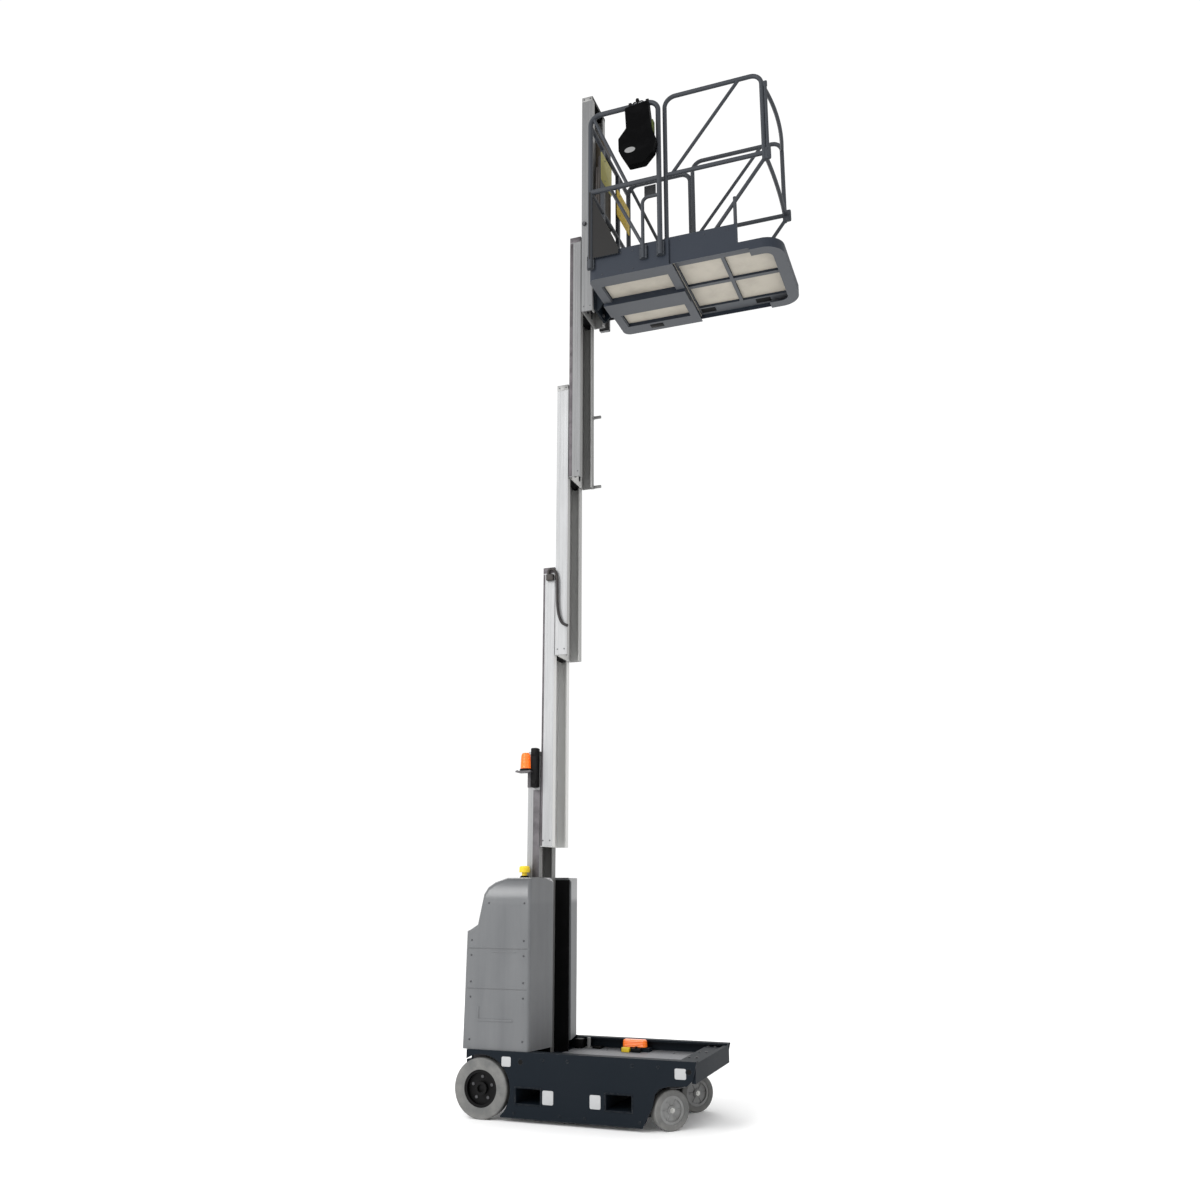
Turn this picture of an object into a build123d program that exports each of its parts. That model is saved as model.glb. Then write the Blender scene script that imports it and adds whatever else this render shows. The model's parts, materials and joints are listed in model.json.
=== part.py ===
from build123d import *
import os

os.makedirs("parts", exist_ok=True)

# millimetres; +X points forward, -Y is the machine's right side, the floor is z = 0
axle = -830                 # x of the rear axle; lengths along x are counted from it

chassis_half = 370          # outer face of the side plates
plate = 10
rail_top = 350              # top of the raised chassis edges
deck_top = 290
ground_gap = 20
front_end = 1195            # front face of the chassis

tyre_r = 155
tyre_width = 70
wheel_half = 375            # outer face of the drive tyres
caster_r = 100
caster_width = 58
caster_pivot_x = axle + front_end - 145
caster_pivot_y = 250
caster_trail = 30
caster_turn = 45            # degrees the parked casters are swung to the right

pocket_x = (278, 785)       # fork pocket centres
pocket_wide = 140
pocket_high = 76
pocket_z = 132

cover_half = 360
cover_inner = 138
cover_top = 1258

mast_length = 1680
mast_foot = 304             # foot of each moving section when the mast is down
mast_top = mast_foot + mast_length
stroke = 1130
pitch = 81
section_depth = 76
section_half = 124
wall = 8
first_face = 220            # front face of the fixed section
running = 0.3               # gap between pieces that slide or turn on each other

platform_half = 365
lift = 4 * stroke           # how far the platform stands above its lowered place
rim_under = lift + rail_top + 10      # lower edge of the platform's side plates
main_floor = rim_under + 35
floor_half = platform_half - 22
toe_top = lift + 540
platform_back = 605
platform_front = 1150
rail_height = lift + 1546
post_x = 1082
tube = 32

ext_back = 1098
ext_front = 1815
ext_half = platform_half - 12
ext_under = main_floor + 5
ext_floor = ext_under + 16
ext_toe_front = 1555
ext_top = rail_height + 38
ext_mid = ext_top - 576
ext_post_x = 1734
ext_tube = 28


def side_profile(points):
    return Polyline(*[(axle + x, z) for x, z in points], close=True)


# chassis frame: floor, end walls, axle box and the board that carries mast and covers
frame_half = chassis_half - plate
board_under = 262
board_top = 284
with BuildPart() as chassis_frame:
    with BuildSketch(Plane.XY.offset(40)):
        with Locations((axle + (front_end - 171) / 2, 0)):
            Rectangle(front_end - 435, 2 * frame_half)
    extrude(amount=8)
    for x in (190, front_end - 307):
        with BuildSketch(Plane.XY.offset(40)):
            with Locations((axle + x, 0)):
                Rectangle(8, 2 * frame_half)
        extrude(amount=board_under - 40)
    with BuildSketch(Plane.XY.offset(board_under)):
        with Locations((axle + (front_end - 155) / 2, 0)):
            Rectangle(front_end + 115, 2 * frame_half)
        for y in (-1, 1):
            with Locations((axle, y * 330)):
                Rectangle(2 * (tyre_r + 20), 110, mode=Mode.SUBTRACT)
    extrude(amount=board_top - board_under)
    with BuildSketch(Plane.XY.offset(95)):
        with Locations((axle + 20, 0)):
            Rectangle(110, 380)
    extrude(amount=board_under - 95)
    with BuildSketch(Plane.XY.offset(150)):
        with Locations((axle + 125, 0)):
            Rectangle(130, 140)
    extrude(amount=60)
    # rear apron under the rear panel
    with BuildSketch(Plane.XY.offset(board_top)):
        with Locations((axle - 104, 0)):
            Rectangle(8, 2 * 270)
    extrude(amount=rail_top - board_top)
    # caster pedestals, each bored for its king pin
    with BuildSketch(Plane.XY.offset(236)):
        for y in (-caster_pivot_y, caster_pivot_y):
            with Locations((caster_pivot_x, y)):
                Circle(52)
    extrude(amount=board_under - 236)
    with BuildSketch(Plane.XY.offset(236)):
        for y in (-caster_pivot_y, caster_pivot_y):
            with Locations((caster_pivot_x, y)):
                Circle(14 + running)
    extrude(amount=24, mode=Mode.SUBTRACT)
chassis_frame.part.label = "chassis_frame"
export_step(chassis_frame.part, "parts/chassis_frame.step")

# side plates with the wheel arch, the caster bay, the fork pocket holes and a turned-in top edge
side_points = [
    (120, ground_gap), (front_end - 282, ground_gap), (front_end - 229, 120),
    (front_end - 215, 185), (front_end - 192, 212), (front_end - 140, 226),
    (front_end - 45, 232), (front_end - 13, 262), (front_end + 7, rail_top),
    (-90, rail_top), (-90, 255),
]
with BuildPart() as side_plate_right:
    with BuildSketch(Plane.XZ.offset(frame_half)):
        with BuildLine():
            side_profile(side_points)
        make_face()
        with Locations((axle, tyre_r)):
            Circle(tyre_r + 18, mode=Mode.SUBTRACT)
        for x in pocket_x:
            with Locations((axle + x, pocket_z)):
                Rectangle(pocket_wide + 12, pocket_high + 12, mode=Mode.SUBTRACT)
        for x, z in ((232, rail_top - 50), (front_end - 33, rail_top - 50)):
            with Locations((axle + x, z)):
                Circle(13, mode=Mode.SUBTRACT)
    extrude(amount=plate)
    with BuildSketch(Plane.XY.offset(rail_top - 10)):
        with Locations((axle + (front_end + 289) / 2, -(chassis_half - 26))):
            Rectangle(front_end - 285, 52)
    extrude(amount=10)
side_plate_right.part.label = "side_plate_right"
export_step(side_plate_right.part, "parts/side_plate_right.step")

with BuildPart() as fork_tubes:
    for x in pocket_x:
        with BuildSketch(Plane.XZ.offset(-chassis_half)):
            with Locations((axle + x, pocket_z)):
                Rectangle(pocket_wide + 12, pocket_high + 12)
                Rectangle(pocket_wide, pocket_high, mode=Mode.SUBTRACT)
        extrude(amount=2 * chassis_half)
fork_tubes.part.label = "fork_tubes"
export_step(fork_tubes.part, "parts/fork_tubes.step")

with BuildPart() as deck_plate:
    with BuildSketch(Plane.XY.offset(board_top)):
        with Locations((axle + (front_end + 165) / 2, 0)):
            Rectangle(front_end - 415, 2 * frame_half)
    extrude(amount=deck_top - board_top)
deck_plate.part.label = "deck_plate"
export_step(deck_plate.part, "parts/deck_plate.step")

with BuildPart() as front_beam:
    with BuildSketch(Plane.XY.offset(board_top)):
        with Locations((axle + front_end - 70, 0)):
            Rectangle(110, 2 * frame_half)
    extrude(amount=rail_top - 20 - board_top)
    with BuildSketch(Plane.XY.offset(rail_top - 105)):
        with Locations((axle + front_end - 10, 0)):
            Rectangle(20, 2 * frame_half)
    extrude(amount=95)
front_beam.part.label = "front_beam"
export_step(front_beam.part, "parts/front_beam.step")

# moulded cover: stepped back, crowned top and a front face that leans toward the mast
cover_side = [
    (-126, rail_top), (-116, cover_top - 292), (-52, cover_top - 252), (-18, cover_top - 90),
    (8, cover_top - 52), (52, cover_top - 24), (112, cover_top - 4), (126, cover_top),
    (298, cover_top), (316, cover_top - 22), (318, rail_top),
]
shell = 7
cover_hollow = [
    (-119, rail_top - 1), (-109, cover_top - 287), (-46, cover_top - 247), (-11, cover_top - 92),
    (12, cover_top - 59), (54, cover_top - 31), (112, cover_top - 11), (140, cover_top - shell),
]
with BuildPart() as cover_right:
    with BuildSketch(Plane.XZ.offset(cover_inner)):
        with BuildLine():
            side_profile(cover_side)
        make_face()
    extrude(amount=cover_half - cover_inner)
    with BuildSketch(Plane.XY):
        with BuildLine():
            Polyline((axle + 330, -cover_inner + 1), (axle + 318, -cover_inner + 1),
                     (axle + 270, -cover_half - 1), (axle + 330, -cover_half - 1), close=True)
        make_face()
    extrude(amount=cover_top + 20, mode=Mode.SUBTRACT)
    outer = cover_right.faces().filter_by(Axis.Y).sort_by(Axis.Y)[0]
    fillet(outer.edges().filter_by(lambda edge: edge.center().Z > rail_top + 10), radius=20)
    # hollow, open at the foot
    with BuildSketch(Plane.XZ.offset(cover_inner + shell)):
        with BuildLine():
            side_profile(cover_hollow + [(292, cover_top - shell), (306, cover_top - 26),
                                         (306, rail_top - 1)])
        make_face()
    extrude(amount=10, mode=Mode.SUBTRACT)
    with BuildSketch(Plane.XZ.offset(cover_inner + shell)):
        with BuildLine():
            side_profile(cover_hollow + [(256, cover_top - shell), (256, rail_top - 1)])
        make_face()
    extrude(amount=cover_half - cover_inner - 2 * shell, mode=Mode.SUBTRACT)
    # shut lines of the side panels
    for z in (cover_top - 594, cover_top - 382):
        with Locations((axle + 60, -cover_half, z)):
            Box(420, 6, 7, mode=Mode.SUBTRACT)
cover_right.part.label = "cover_right"
export_step(cover_right.part, "parts/cover_right.step")

panel_top = cover_top - 302
with BuildPart() as rear_panel:
    with BuildSketch(Plane.YZ.offset(axle - 108)):
        with Locations((0, (rail_top + panel_top) / 2)):
            Rectangle(2 * cover_inner, panel_top - rail_top)
        with Locations((0, 560)):
            Rectangle(200, 220, mode=Mode.SUBTRACT)
    extrude(amount=8)
    with BuildSketch(Plane.XY.offset(panel_top - 8)):
        with Locations((axle + 6, 0)):
            Rectangle(228, 2 * cover_inner)
    extrude(amount=8)
rear_panel.part.label = "rear_panel"
export_step(rear_panel.part, "parts/rear_panel.step")

with BuildPart() as ground_control_box:
    with BuildSketch(Plane.YZ.offset(axle - 100)):
        with Locations((0, 560)):
            Rectangle(200, 220)
    extrude(amount=60)
    with BuildSketch(Plane.YZ.offset(axle - 112)):
        with Locations((-45, 600)):
            Circle(20)
        for y, z in ((40, 610), (40, 560), (-45, 530), (40, 510)):
            with Locations((y, z)):
                Circle(11)
    extrude(amount=14)
ground_control_box.part.label = "ground_control_box"
export_step(ground_control_box.part, "parts/ground_control_box.step")

# black inner walls of the mast slot
with BuildPart() as slot_trim:
    for y in (-(cover_inner - 4), cover_inner - 4):
        with BuildSketch(Plane.XY.offset(deck_top)):
            with Locations((axle + 226, y)):
                Rectangle(160, 8)
        extrude(amount=cover_top - 12 - deck_top)
slot_trim.part.label = "slot_trim"
export_step(slot_trim.part, "parts/slot_trim.step")

# heavy masses under the covers
with BuildPart() as battery_block:
    with BuildSketch(Plane.XY.offset(board_top)):
        with Locations((axle + 60, -222)):
            Rectangle(290, 140)
    extrude(amount=270)
battery_block.part.label = "battery_block"
export_step(battery_block.part, "parts/battery_block.step")

with BuildPart() as power_unit:
    with BuildSketch(Plane.XY.offset(board_top)):
        with Locations((axle + 60, 222)):
            Rectangle(290, 140)
    extrude(amount=300)
power_unit.part.label = "power_unit"
export_step(power_unit.part, "parts/power_unit.step")

# wheel motors on the ends of the axle box, with the stub axles
stub_r = 20
with BuildPart() as drive_motors:
    for y in (-1, 1):
        with BuildSketch(Plane.XZ.offset(-y * 190)):
            with Locations((axle, tyre_r)):
                Circle(58)
        extrude(amount=-y * 104)
        with BuildSketch(Plane.XZ.offset(-y * 294)):
            with Locations((axle, tyre_r)):
                Circle(stub_r)
        extrude(amount=-y * 62)
drive_motors.part.label = "drive_motors"
export_step(drive_motors.part, "parts/drive_motors.step")

# drive wheels: side, y sign
for side, y in (("right", -1), ("left", 1)):
    inner = wheel_half - tyre_width
    with BuildPart() as drive_tyre:
        with BuildSketch(Plane.XZ.offset(-y * inner)):
            with Locations((axle, tyre_r)):
                Circle(tyre_r)
                Circle(96, mode=Mode.SUBTRACT)
        extrude(amount=-y * tyre_width)
        fillet(drive_tyre.edges().filter_by(GeomType.CIRCLE).sort_by(SortBy.RADIUS)[-2:], radius=9)
    drive_tyre.part.label = f"drive_tyre_{side}"
    export_step(drive_tyre.part, f"parts/drive_tyre_{side}.step")

    with BuildPart() as drive_hub:
        with BuildSketch(Plane.XZ.offset(-y * inner)):
            with Locations((axle, tyre_r)):
                Circle(96)
                Circle(stub_r + running, mode=Mode.SUBTRACT)
        extrude(amount=-y * (tyre_width - 6))
        with BuildSketch(Plane.XZ.offset(-y * (wheel_half - 30))):
            with Locations((axle, tyre_r)):
                Circle(82)
                Circle(34, mode=Mode.SUBTRACT)
        extrude(amount=-y * 30, mode=Mode.SUBTRACT)
    drive_hub.part.label = f"drive_hub_{side}"
    export_step(drive_hub.part, f"parts/drive_hub_{side}.step")

# casters: swivelling knuckle on the inner side of the wheel; side, y of the king pin
swing = Vector(-1, 0, 0).rotate(Axis.Z, caster_turn)
for side, pivot_y in (("right", -caster_pivot_y), ("left", caster_pivot_y)):
    stand = Plane(origin=(caster_pivot_x, pivot_y, 0), x_dir=swing, z_dir=(0, 0, 1))
    spin = Plane(origin=stand.from_local_coords(Vector(caster_trail, 0, caster_r)),
                 x_dir=swing, z_dir=stand.y_dir)
    half = caster_width / 2
    with BuildPart() as caster_knuckle:
        with BuildSketch(stand.offset(211)):
            Circle(56)
        extrude(amount=20)
        with BuildSketch(stand.offset(231)):
            Circle(14)
        extrude(amount=25)
        with BuildSketch(spin.offset(-half - 6)):
            with BuildLine():
                Polyline((-76, -125), (14, -125), (24, 18), (-24, 18), close=True)
            make_face()
        extrude(amount=-14)
        with BuildSketch(spin.offset(-half - 20)):
            Circle(10)
        extrude(amount=2 * half + 16)
    caster_knuckle.part.label = f"caster_knuckle_{side}"
    export_step(caster_knuckle.part, f"parts/caster_knuckle_{side}.step")

    with BuildPart() as caster_tyre:
        with BuildSketch(spin.offset(-half)):
            Circle(caster_r)
            Circle(70, mode=Mode.SUBTRACT)
        extrude(amount=caster_width)
        fillet(caster_tyre.edges().filter_by(GeomType.CIRCLE).sort_by(SortBy.RADIUS)[-2:], radius=8)
    caster_tyre.part.label = f"caster_tyre_{side}"
    export_step(caster_tyre.part, f"parts/caster_tyre_{side}.step")

    with BuildPart() as caster_hub:
        with BuildSketch(spin.offset(-half + 3)):
            Circle(70)
            Circle(10 + running, mode=Mode.SUBTRACT)
        extrude(amount=caster_width - 6)
        with BuildSketch(spin.offset(half - 12)):
            Circle(56)
            Circle(22, mode=Mode.SUBTRACT)
        extrude(amount=20, mode=Mode.SUBTRACT)
    caster_hub.part.label = f"caster_hub_{side}"
    export_step(caster_hub.part, f"parts/caster_hub_{side}.step")

# mast: nested open channels, each one pitch ahead of the last and one stroke higher
# name, steps up from the fixed section, foot z, how far its top stands over the common line
mast_table = (
    ("mast_1", 0, board_top, 0),
    ("mast_2", 1, mast_foot + stroke, 0),
    ("mast_3", 2, mast_foot + 2 * stroke, 80),
    ("mast_4", 3, mast_foot + 3 * stroke, 0),
    ("mast_5", 4, mast_foot + 4 * stroke, -65),
)
neck = pitch - section_depth + wall + running
for name, step, foot, over in mast_table:
    face = axle + first_face + step * pitch
    back = face - section_depth
    top = mast_top + step * stroke + over
    with BuildPart() as section:
        with BuildSketch(Plane.XY.offset(foot)):
            with Locations((face - section_depth / 2, 0)):
                Rectangle(section_depth, 2 * section_half)
            with Locations((face - (section_depth - wall) / 2, 0)):
                Rectangle(section_depth - wall, 2 * (section_half - wall), mode=Mode.SUBTRACT)
            # lips that hold the next section's shoes
            for y in (-1, 1):
                with Locations((face - wall / 2, y * (section_half - 20))):
                    Rectangle(wall, 40)
        extrude(amount=top - 26 - foot)
    section.part.label = name
    export_step(section.part, f"parts/{name}.step")

    # black head over the section's top, and the shoes that run in the section behind it
    with BuildPart() as fittings:
        with BuildSketch(Plane.XY.offset(top - 26)):
            with Locations((face - section_depth / 2, 0)):
                Rectangle(section_depth, 2 * section_half)
        extrude(amount=26)
        if step:
            for z in (foot, foot + 420):
                with BuildSketch(Plane.XY.offset(z)):
                    with Locations((back - (neck + 1) / 2, 0)):
                        Rectangle(neck + 1, 110)
                    with Locations((back - neck - 20, 0)):
                        Rectangle(40, 2 * (section_half - wall - 6))
                extrude(amount=90)
    fittings.part.label = f"{name}_fittings"
    export_step(fittings.part, f"parts/{name}_fittings.step")

# beacon on the side of the fixed section
beacon_x, beacon_y, beacon_z = axle + 146, -(section_half + 46), mast_top - 116
with BuildPart() as beacon_bracket:
    with BuildSketch(Plane.XY.offset(beacon_z - 8)):
        with Locations((beacon_x - 2, -(section_half + 41))):
            Rectangle(96, 82)
    extrude(amount=8)
    with BuildSketch(Plane.XZ.offset(section_half)):
        with Locations((beacon_x + 16, beacon_z - 50)):
            Rectangle(40, 84)
    extrude(amount=6)
beacon_bracket.part.label = "beacon_bracket"
export_step(beacon_bracket.part, "parts/beacon_bracket.step")

with BuildPart() as mast_beacon:
    with BuildSketch(Plane.XY.offset(beacon_z)):
        with Locations((beacon_x, beacon_y)):
            Circle(30)
    extrude(amount=108, taper=3)
    fillet(mast_beacon.faces().sort_by(Axis.Z)[-1].edges(), radius=14)
mast_beacon.part.label = "mast_beacon"
export_step(mast_beacon.part, "parts/mast_beacon.step")

with BuildPart() as lowering_knob:
    with BuildSketch(Plane.XY.offset(cover_top)):
        with Locations((axle + 150, -172)):
            Circle(15)
    extrude(amount=30)
    with BuildSketch(Plane.XY.offset(cover_top + 30)):
        with Locations((axle + 150, -172)):
            Circle(30)
    extrude(amount=36)
    fillet(lowering_knob.faces().sort_by(Axis.Z)[-1].edges(), radius=12)
lowering_knob.part.label = "lowering_knob"
export_step(lowering_knob.part, "parts/lowering_knob.step")

# low warning lamp on the left chassis edge
lamp_y = chassis_half - 85
with BuildPart() as deck_lamp_base:
    with BuildSketch(Plane.XY.offset(deck_top)):
        with Locations((axle + 668, lamp_y)):
            Rectangle(170, 62)
    extrude(amount=20)
deck_lamp_base.part.label = "deck_lamp_base"
export_step(deck_lamp_base.part, "parts/deck_lamp_base.step")

with BuildPart() as deck_lamp:
    with BuildSketch(Plane.XY.offset(deck_top + 20)):
        with Locations((axle + 660, lamp_y)):
            RectangleRounded(140, 50, 16)
    extrude(amount=43, taper=4)
    fillet(deck_lamp.faces().sort_by(Axis.Z)[-1].edges(), radius=10)
deck_lamp.part.label = "deck_lamp"
export_step(deck_lamp.part, "parts/deck_lamp.step")

# carriage that hangs the platform on the last section
carriage_x = first_face + 4 * pitch
carriage_foot = rim_under - 40
carriage_head = toe_top + 260
with BuildPart() as carriage:
    with BuildSketch(Plane.YZ.offset(axle + carriage_x)):
        with Locations((0, (carriage_foot + carriage_head) / 2)):
            Rectangle(190, carriage_head - carriage_foot)
    extrude(amount=12)
    for y in (-80, 80):
        with BuildSketch(Plane.XZ.offset(y + 6)):
            with BuildLine():
                side_profile([(carriage_x, carriage_foot), (carriage_x, carriage_head),
                              (carriage_x + 20, carriage_head), (platform_back, toe_top),
                              (platform_back, rim_under), (carriage_x + 28, carriage_foot)])
            make_face()
        extrude(amount=-12)
carriage.part.label = "carriage"
export_step(carriage.part, "parts/carriage.step")

# platform frame: a tray of side plates and rear wall, its lower rim, cross beams and middle beam
toe_end = 1130
corner = 46
main_middle = axle + (platform_back + platform_front) / 2
main_length = platform_front - platform_back
with BuildPart() as platform_frame:
    with BuildSketch(Plane.XY.offset(rim_under)) as wall_shape:
        with Locations((axle + (platform_back + toe_end) / 2, 0)):
            Rectangle(toe_end - platform_back, 2 * platform_half)
        fillet(wall_shape.vertices().sort_by(Axis.X)[:2], radius=corner)
    extrude(amount=toe_top - rim_under)
    with BuildSketch(Plane.XY.offset(rim_under)) as hollow_shape:
        with Locations((axle + (platform_back + 6 + toe_end + 50) / 2, 0)):
            Rectangle(toe_end + 50 - platform_back - 6, 2 * (platform_half - 6))
        fillet(hollow_shape.vertices().sort_by(Axis.X)[:2], radius=corner - 6)
    extrude(amount=toe_top - rim_under, mode=Mode.SUBTRACT)
    with BuildSketch(Plane.XY.offset(rim_under)) as rim_shape:
        with Locations((main_middle, 0)):
            Rectangle(main_length, 2 * platform_half)
        fillet(rim_shape.vertices().sort_by(Axis.X)[:2], radius=corner)
        with Locations((main_middle, 0)):
            Rectangle(main_length - 110, 2 * platform_half - 200, mode=Mode.SUBTRACT)
    extrude(amount=6)
    with BuildSketch(Plane.XY.offset(rim_under + 6)):
        with Locations((main_middle + 3, 0)):
            Rectangle(main_length - 6, 2 * (floor_half - 24))
            Rectangle(main_length - 116, 2 * platform_half - 200, mode=Mode.SUBTRACT)
    extrude(amount=20)
    with BuildSketch(Plane.XY.offset(rim_under - 22)):
        with Locations((main_middle, 0)):
            Rectangle(main_length, 150)
    extrude(amount=48)
platform_frame.part.label = "platform_frame"
export_step(platform_frame.part, "parts/platform_frame.step")

with BuildPart() as platform_floor:
    with BuildSketch(Plane.XY.offset(main_floor - 9)) as floor_shape:
        with Locations((main_middle + 3, 0)):
            Rectangle(main_length - 6, 2 * floor_half)
        fillet(floor_shape.vertices().sort_by(Axis.X)[:2], radius=corner - 6)
    extrude(amount=9)
platform_floor.part.label = "platform_floor"
export_step(platform_floor.part, "parts/platform_floor.step")

# guard rails are bent tubes
def tube_run(plane, points, radius, bend=0):
    with BuildPart() as run:
        with BuildLine(plane) as path:
            if bend:
                FilletPolyline(*points, radius=bend)
            else:
                Polyline(*points)
        with BuildSketch(Plane(origin=path.line @ 0, z_dir=path.line % 0)):
            Circle(radius)
        sweep()
    return run.part


def side_run(offset_y, points, radius, bend=0):
    return tube_run(Plane.XZ.offset(offset_y), [(axle + x, z) for x, z in points], radius, bend)


rail_r = tube / 2
thin_r = 11
main_rail_y = platform_half + rail_r
rail_foot = toe_top - 110
back_post_x = 627
main_mid = rail_height - 576
# side rail of the main platform: points, radius, bend
main_runs = (
    ([(back_post_x, rail_foot), (back_post_x, rail_height - rail_r), (post_x, rail_height - rail_r),
      (post_x, rail_foot)], rail_r, 70),
    ([(back_post_x, main_mid), (post_x, main_mid)], rail_r, 0),
    ([(back_post_x + 21, rail_height - rail_r - 21), (back_post_x + 248, main_mid)], thin_r, 0),
    ([(back_post_x + 133, main_mid), (post_x - 110, toe_top - 20)], thin_r, 0),
    ([(post_x - 110, rail_foot), (post_x - 110, main_mid - 120), (post_x, main_mid - 120)],
     thin_r, 40),
)
with BuildPart() as main_rail_right:
    for points, radius, bend in main_runs:
        add(side_run(main_rail_y, points, radius, bend))
    # sockets that bolt the posts to the toe board
    for x in (back_post_x, post_x - 110, post_x):
        with Locations((axle + x, -platform_half - rail_r / 2, rail_foot + 45)):
            Box(46, rail_r, 90)
    # gusset between the mid tube and the toe board
    with BuildSketch(Plane.XZ.offset(main_rail_y - 4)):
        with BuildLine():
            side_profile([(back_post_x, main_mid), (back_post_x, toe_top - 40),
                          (back_post_x + 185, toe_top - 40), (back_post_x + 185, toe_top)])
        make_face()
    extrude(amount=8)
main_rail_right.part.label = "main_rail_right"
export_step(main_rail_right.part, "parts/main_rail_right.step")

# rear rail: two cross tubes and the dark gusset plates beside the mast
with BuildPart() as rear_rail:
    for z in (rail_height - 90, main_mid):
        with BuildSketch(Plane.XZ.offset(-(main_rail_y - rail_r))):
            with Locations((axle + back_post_x, z)):
                Circle(rail_r - 2)
        extrude(amount=2 * (main_rail_y - rail_r))
    for y in (-150, 150):
        with BuildSketch(Plane.XY.offset(main_floor)):
            with Locations((axle + back_post_x, y)):
                Rectangle(24, 30)
        extrude(amount=rail_height - 90 - main_floor)
rear_rail.part.label = "rear_rail"
export_step(rear_rail.part, "parts/rear_rail.step")

# control box hung outside the right rail
box_face = main_rail_y + rail_r
with BuildPart() as platform_control_box:
    with BuildSketch(Plane.XZ.offset(box_face)):
        with BuildLine():
            side_profile([(post_x + x, rail_height + z) for x, z in (
                (-200, -70), (-46, -56), (-28, -240), (0, -346), (-16, -424), (-76, -490),
                (-182, -490), (-242, -376), (-244, -286), (-192, -220))])
        make_face()
    extrude(amount=52)
    fillet(platform_control_box.edges().filter_by(Axis.Y), radius=14)
platform_control_box.part.label = "platform_control_box"
export_step(platform_control_box.part, "parts/platform_control_box.step")

# extension deck that rolls out over the main floor: rounded rim, beams and toe boards
ext_middle = axle + (ext_front + ext_back) / 2
ext_length = ext_front - ext_back
ext_corner = 120
nose = 195                  # length of the deep front end, ahead of the main platform when shut
with BuildPart() as extension_frame:
    with BuildSketch(Plane.XY.offset(ext_under)) as beam_shape:
        with Locations((ext_middle, 0)):
            Rectangle(ext_length, 2 * ext_half)
        fillet(beam_shape.vertices().sort_by(Axis.X)[-2:], radius=ext_corner)
        with Locations((ext_middle, 0)):
            Rectangle(ext_length - 120, 2 * ext_half - 180, mode=Mode.SUBTRACT)
        with Locations((ext_middle, 0)):
            Rectangle(ext_length - 20, 30)
        with Locations((axle + ext_front - 375, 0)):
            Rectangle(22, 2 * ext_half - 20)
    extrude(amount=ext_floor - ext_under)
    # side plates run in the gap between the main floor and the main side plates
    with BuildSketch(Plane.XY.offset(rim_under + 12)):
        for y in (-1, 1):
            with Locations((axle + (ext_back + ext_front - ext_corner) / 2, y * (ext_half - 2))):
                Rectangle(ext_front - ext_corner - ext_back, 4)
    extrude(amount=ext_floor + 8 - rim_under - 12)
    with BuildSketch(Plane.XY.offset(ext_floor)):
        for y in (-1, 1):
            with Locations((axle + (ext_back + ext_toe_front) / 2, y * (ext_half - 2))):
                Rectangle(ext_toe_front - ext_back, 4)
    extrude(amount=toe_top + 12 - ext_floor)
    # deep rounded front end with its lower rim
    for inset, height in ((4, ext_floor + 8 - rim_under), (70, 6)):
        with BuildSketch(Plane.XY.offset(rim_under)) as nose_shape:
            with Locations((axle + ext_front - nose / 2, 0)):
                Rectangle(nose, 2 * ext_half)
            fillet(nose_shape.vertices().sort_by(Axis.X)[-2:], radius=ext_corner)
            with BuildSketch(mode=Mode.SUBTRACT) as inner_shape:
                with Locations((axle + ext_front - inset - nose / 2, 0)):
                    Rectangle(nose, 2 * (ext_half - inset))
                fillet(inner_shape.vertices().sort_by(Axis.X)[-2:], radius=ext_corner - inset)
        extrude(amount=height)
    # skids that slide on the main floor
    with BuildSketch(Plane.XY.offset(main_floor + running)):
        for y in (-190, 190):
            with Locations((axle + ext_back + 30, y)):
                Rectangle(60, 80)
    extrude(amount=ext_under - main_floor - running)
extension_frame.part.label = "extension_frame"
export_step(extension_frame.part, "parts/extension_frame.step")

with BuildPart() as extension_floor:
    with BuildSketch(Plane.XY.offset(ext_floor)) as plate_shape:
        with Locations((ext_middle - 2, 0)):
            Rectangle(ext_length - 4, 2 * (ext_half - 4))
        fillet(plate_shape.vertices().sort_by(Axis.X)[-2:], radius=ext_corner - 4)
    extrude(amount=8)
extension_floor.part.label = "extension_floor"
export_step(extension_floor.part, "parts/extension_floor.step")

# side rail of the extension: points, radius, bend
ext_rail_y = ext_half - 4 - ext_tube / 2
ext_foot = ext_floor + 8
ext_r = ext_tube / 2
ext_high = ext_top - ext_r
ext_runs = (
    ([(ext_back + 14, ext_foot), (ext_back + 14, ext_high), (ext_post_x, ext_high),
      (ext_post_x, ext_mid - 52)], ext_r, 70),
    ([(ext_back + 14, ext_mid), (ext_post_x, ext_mid)], ext_r, 0),
    ([(ext_back + 54, ext_mid), (ext_post_x - 140, ext_high)], thin_r, 0),
    ([(ext_post_x, ext_mid - 40), (ext_post_x - 322, ext_foot + 120)], ext_r - 2, 0),
    ([(ext_post_x - 322, ext_foot + 120), (ext_post_x - 322, ext_foot)], ext_r - 2, 0),
    ([(ext_toe_front - 12, ext_foot), (ext_toe_front - 12, ext_mid - 262)], thin_r, 0),
)
with BuildPart() as extension_rail_right:
    for points, radius, bend in ext_runs:
        add(side_run(ext_rail_y, points, radius, bend))
extension_rail_right.part.label = "extension_rail_right"
export_step(extension_rail_right.part, "parts/extension_rail_right.step")

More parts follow.
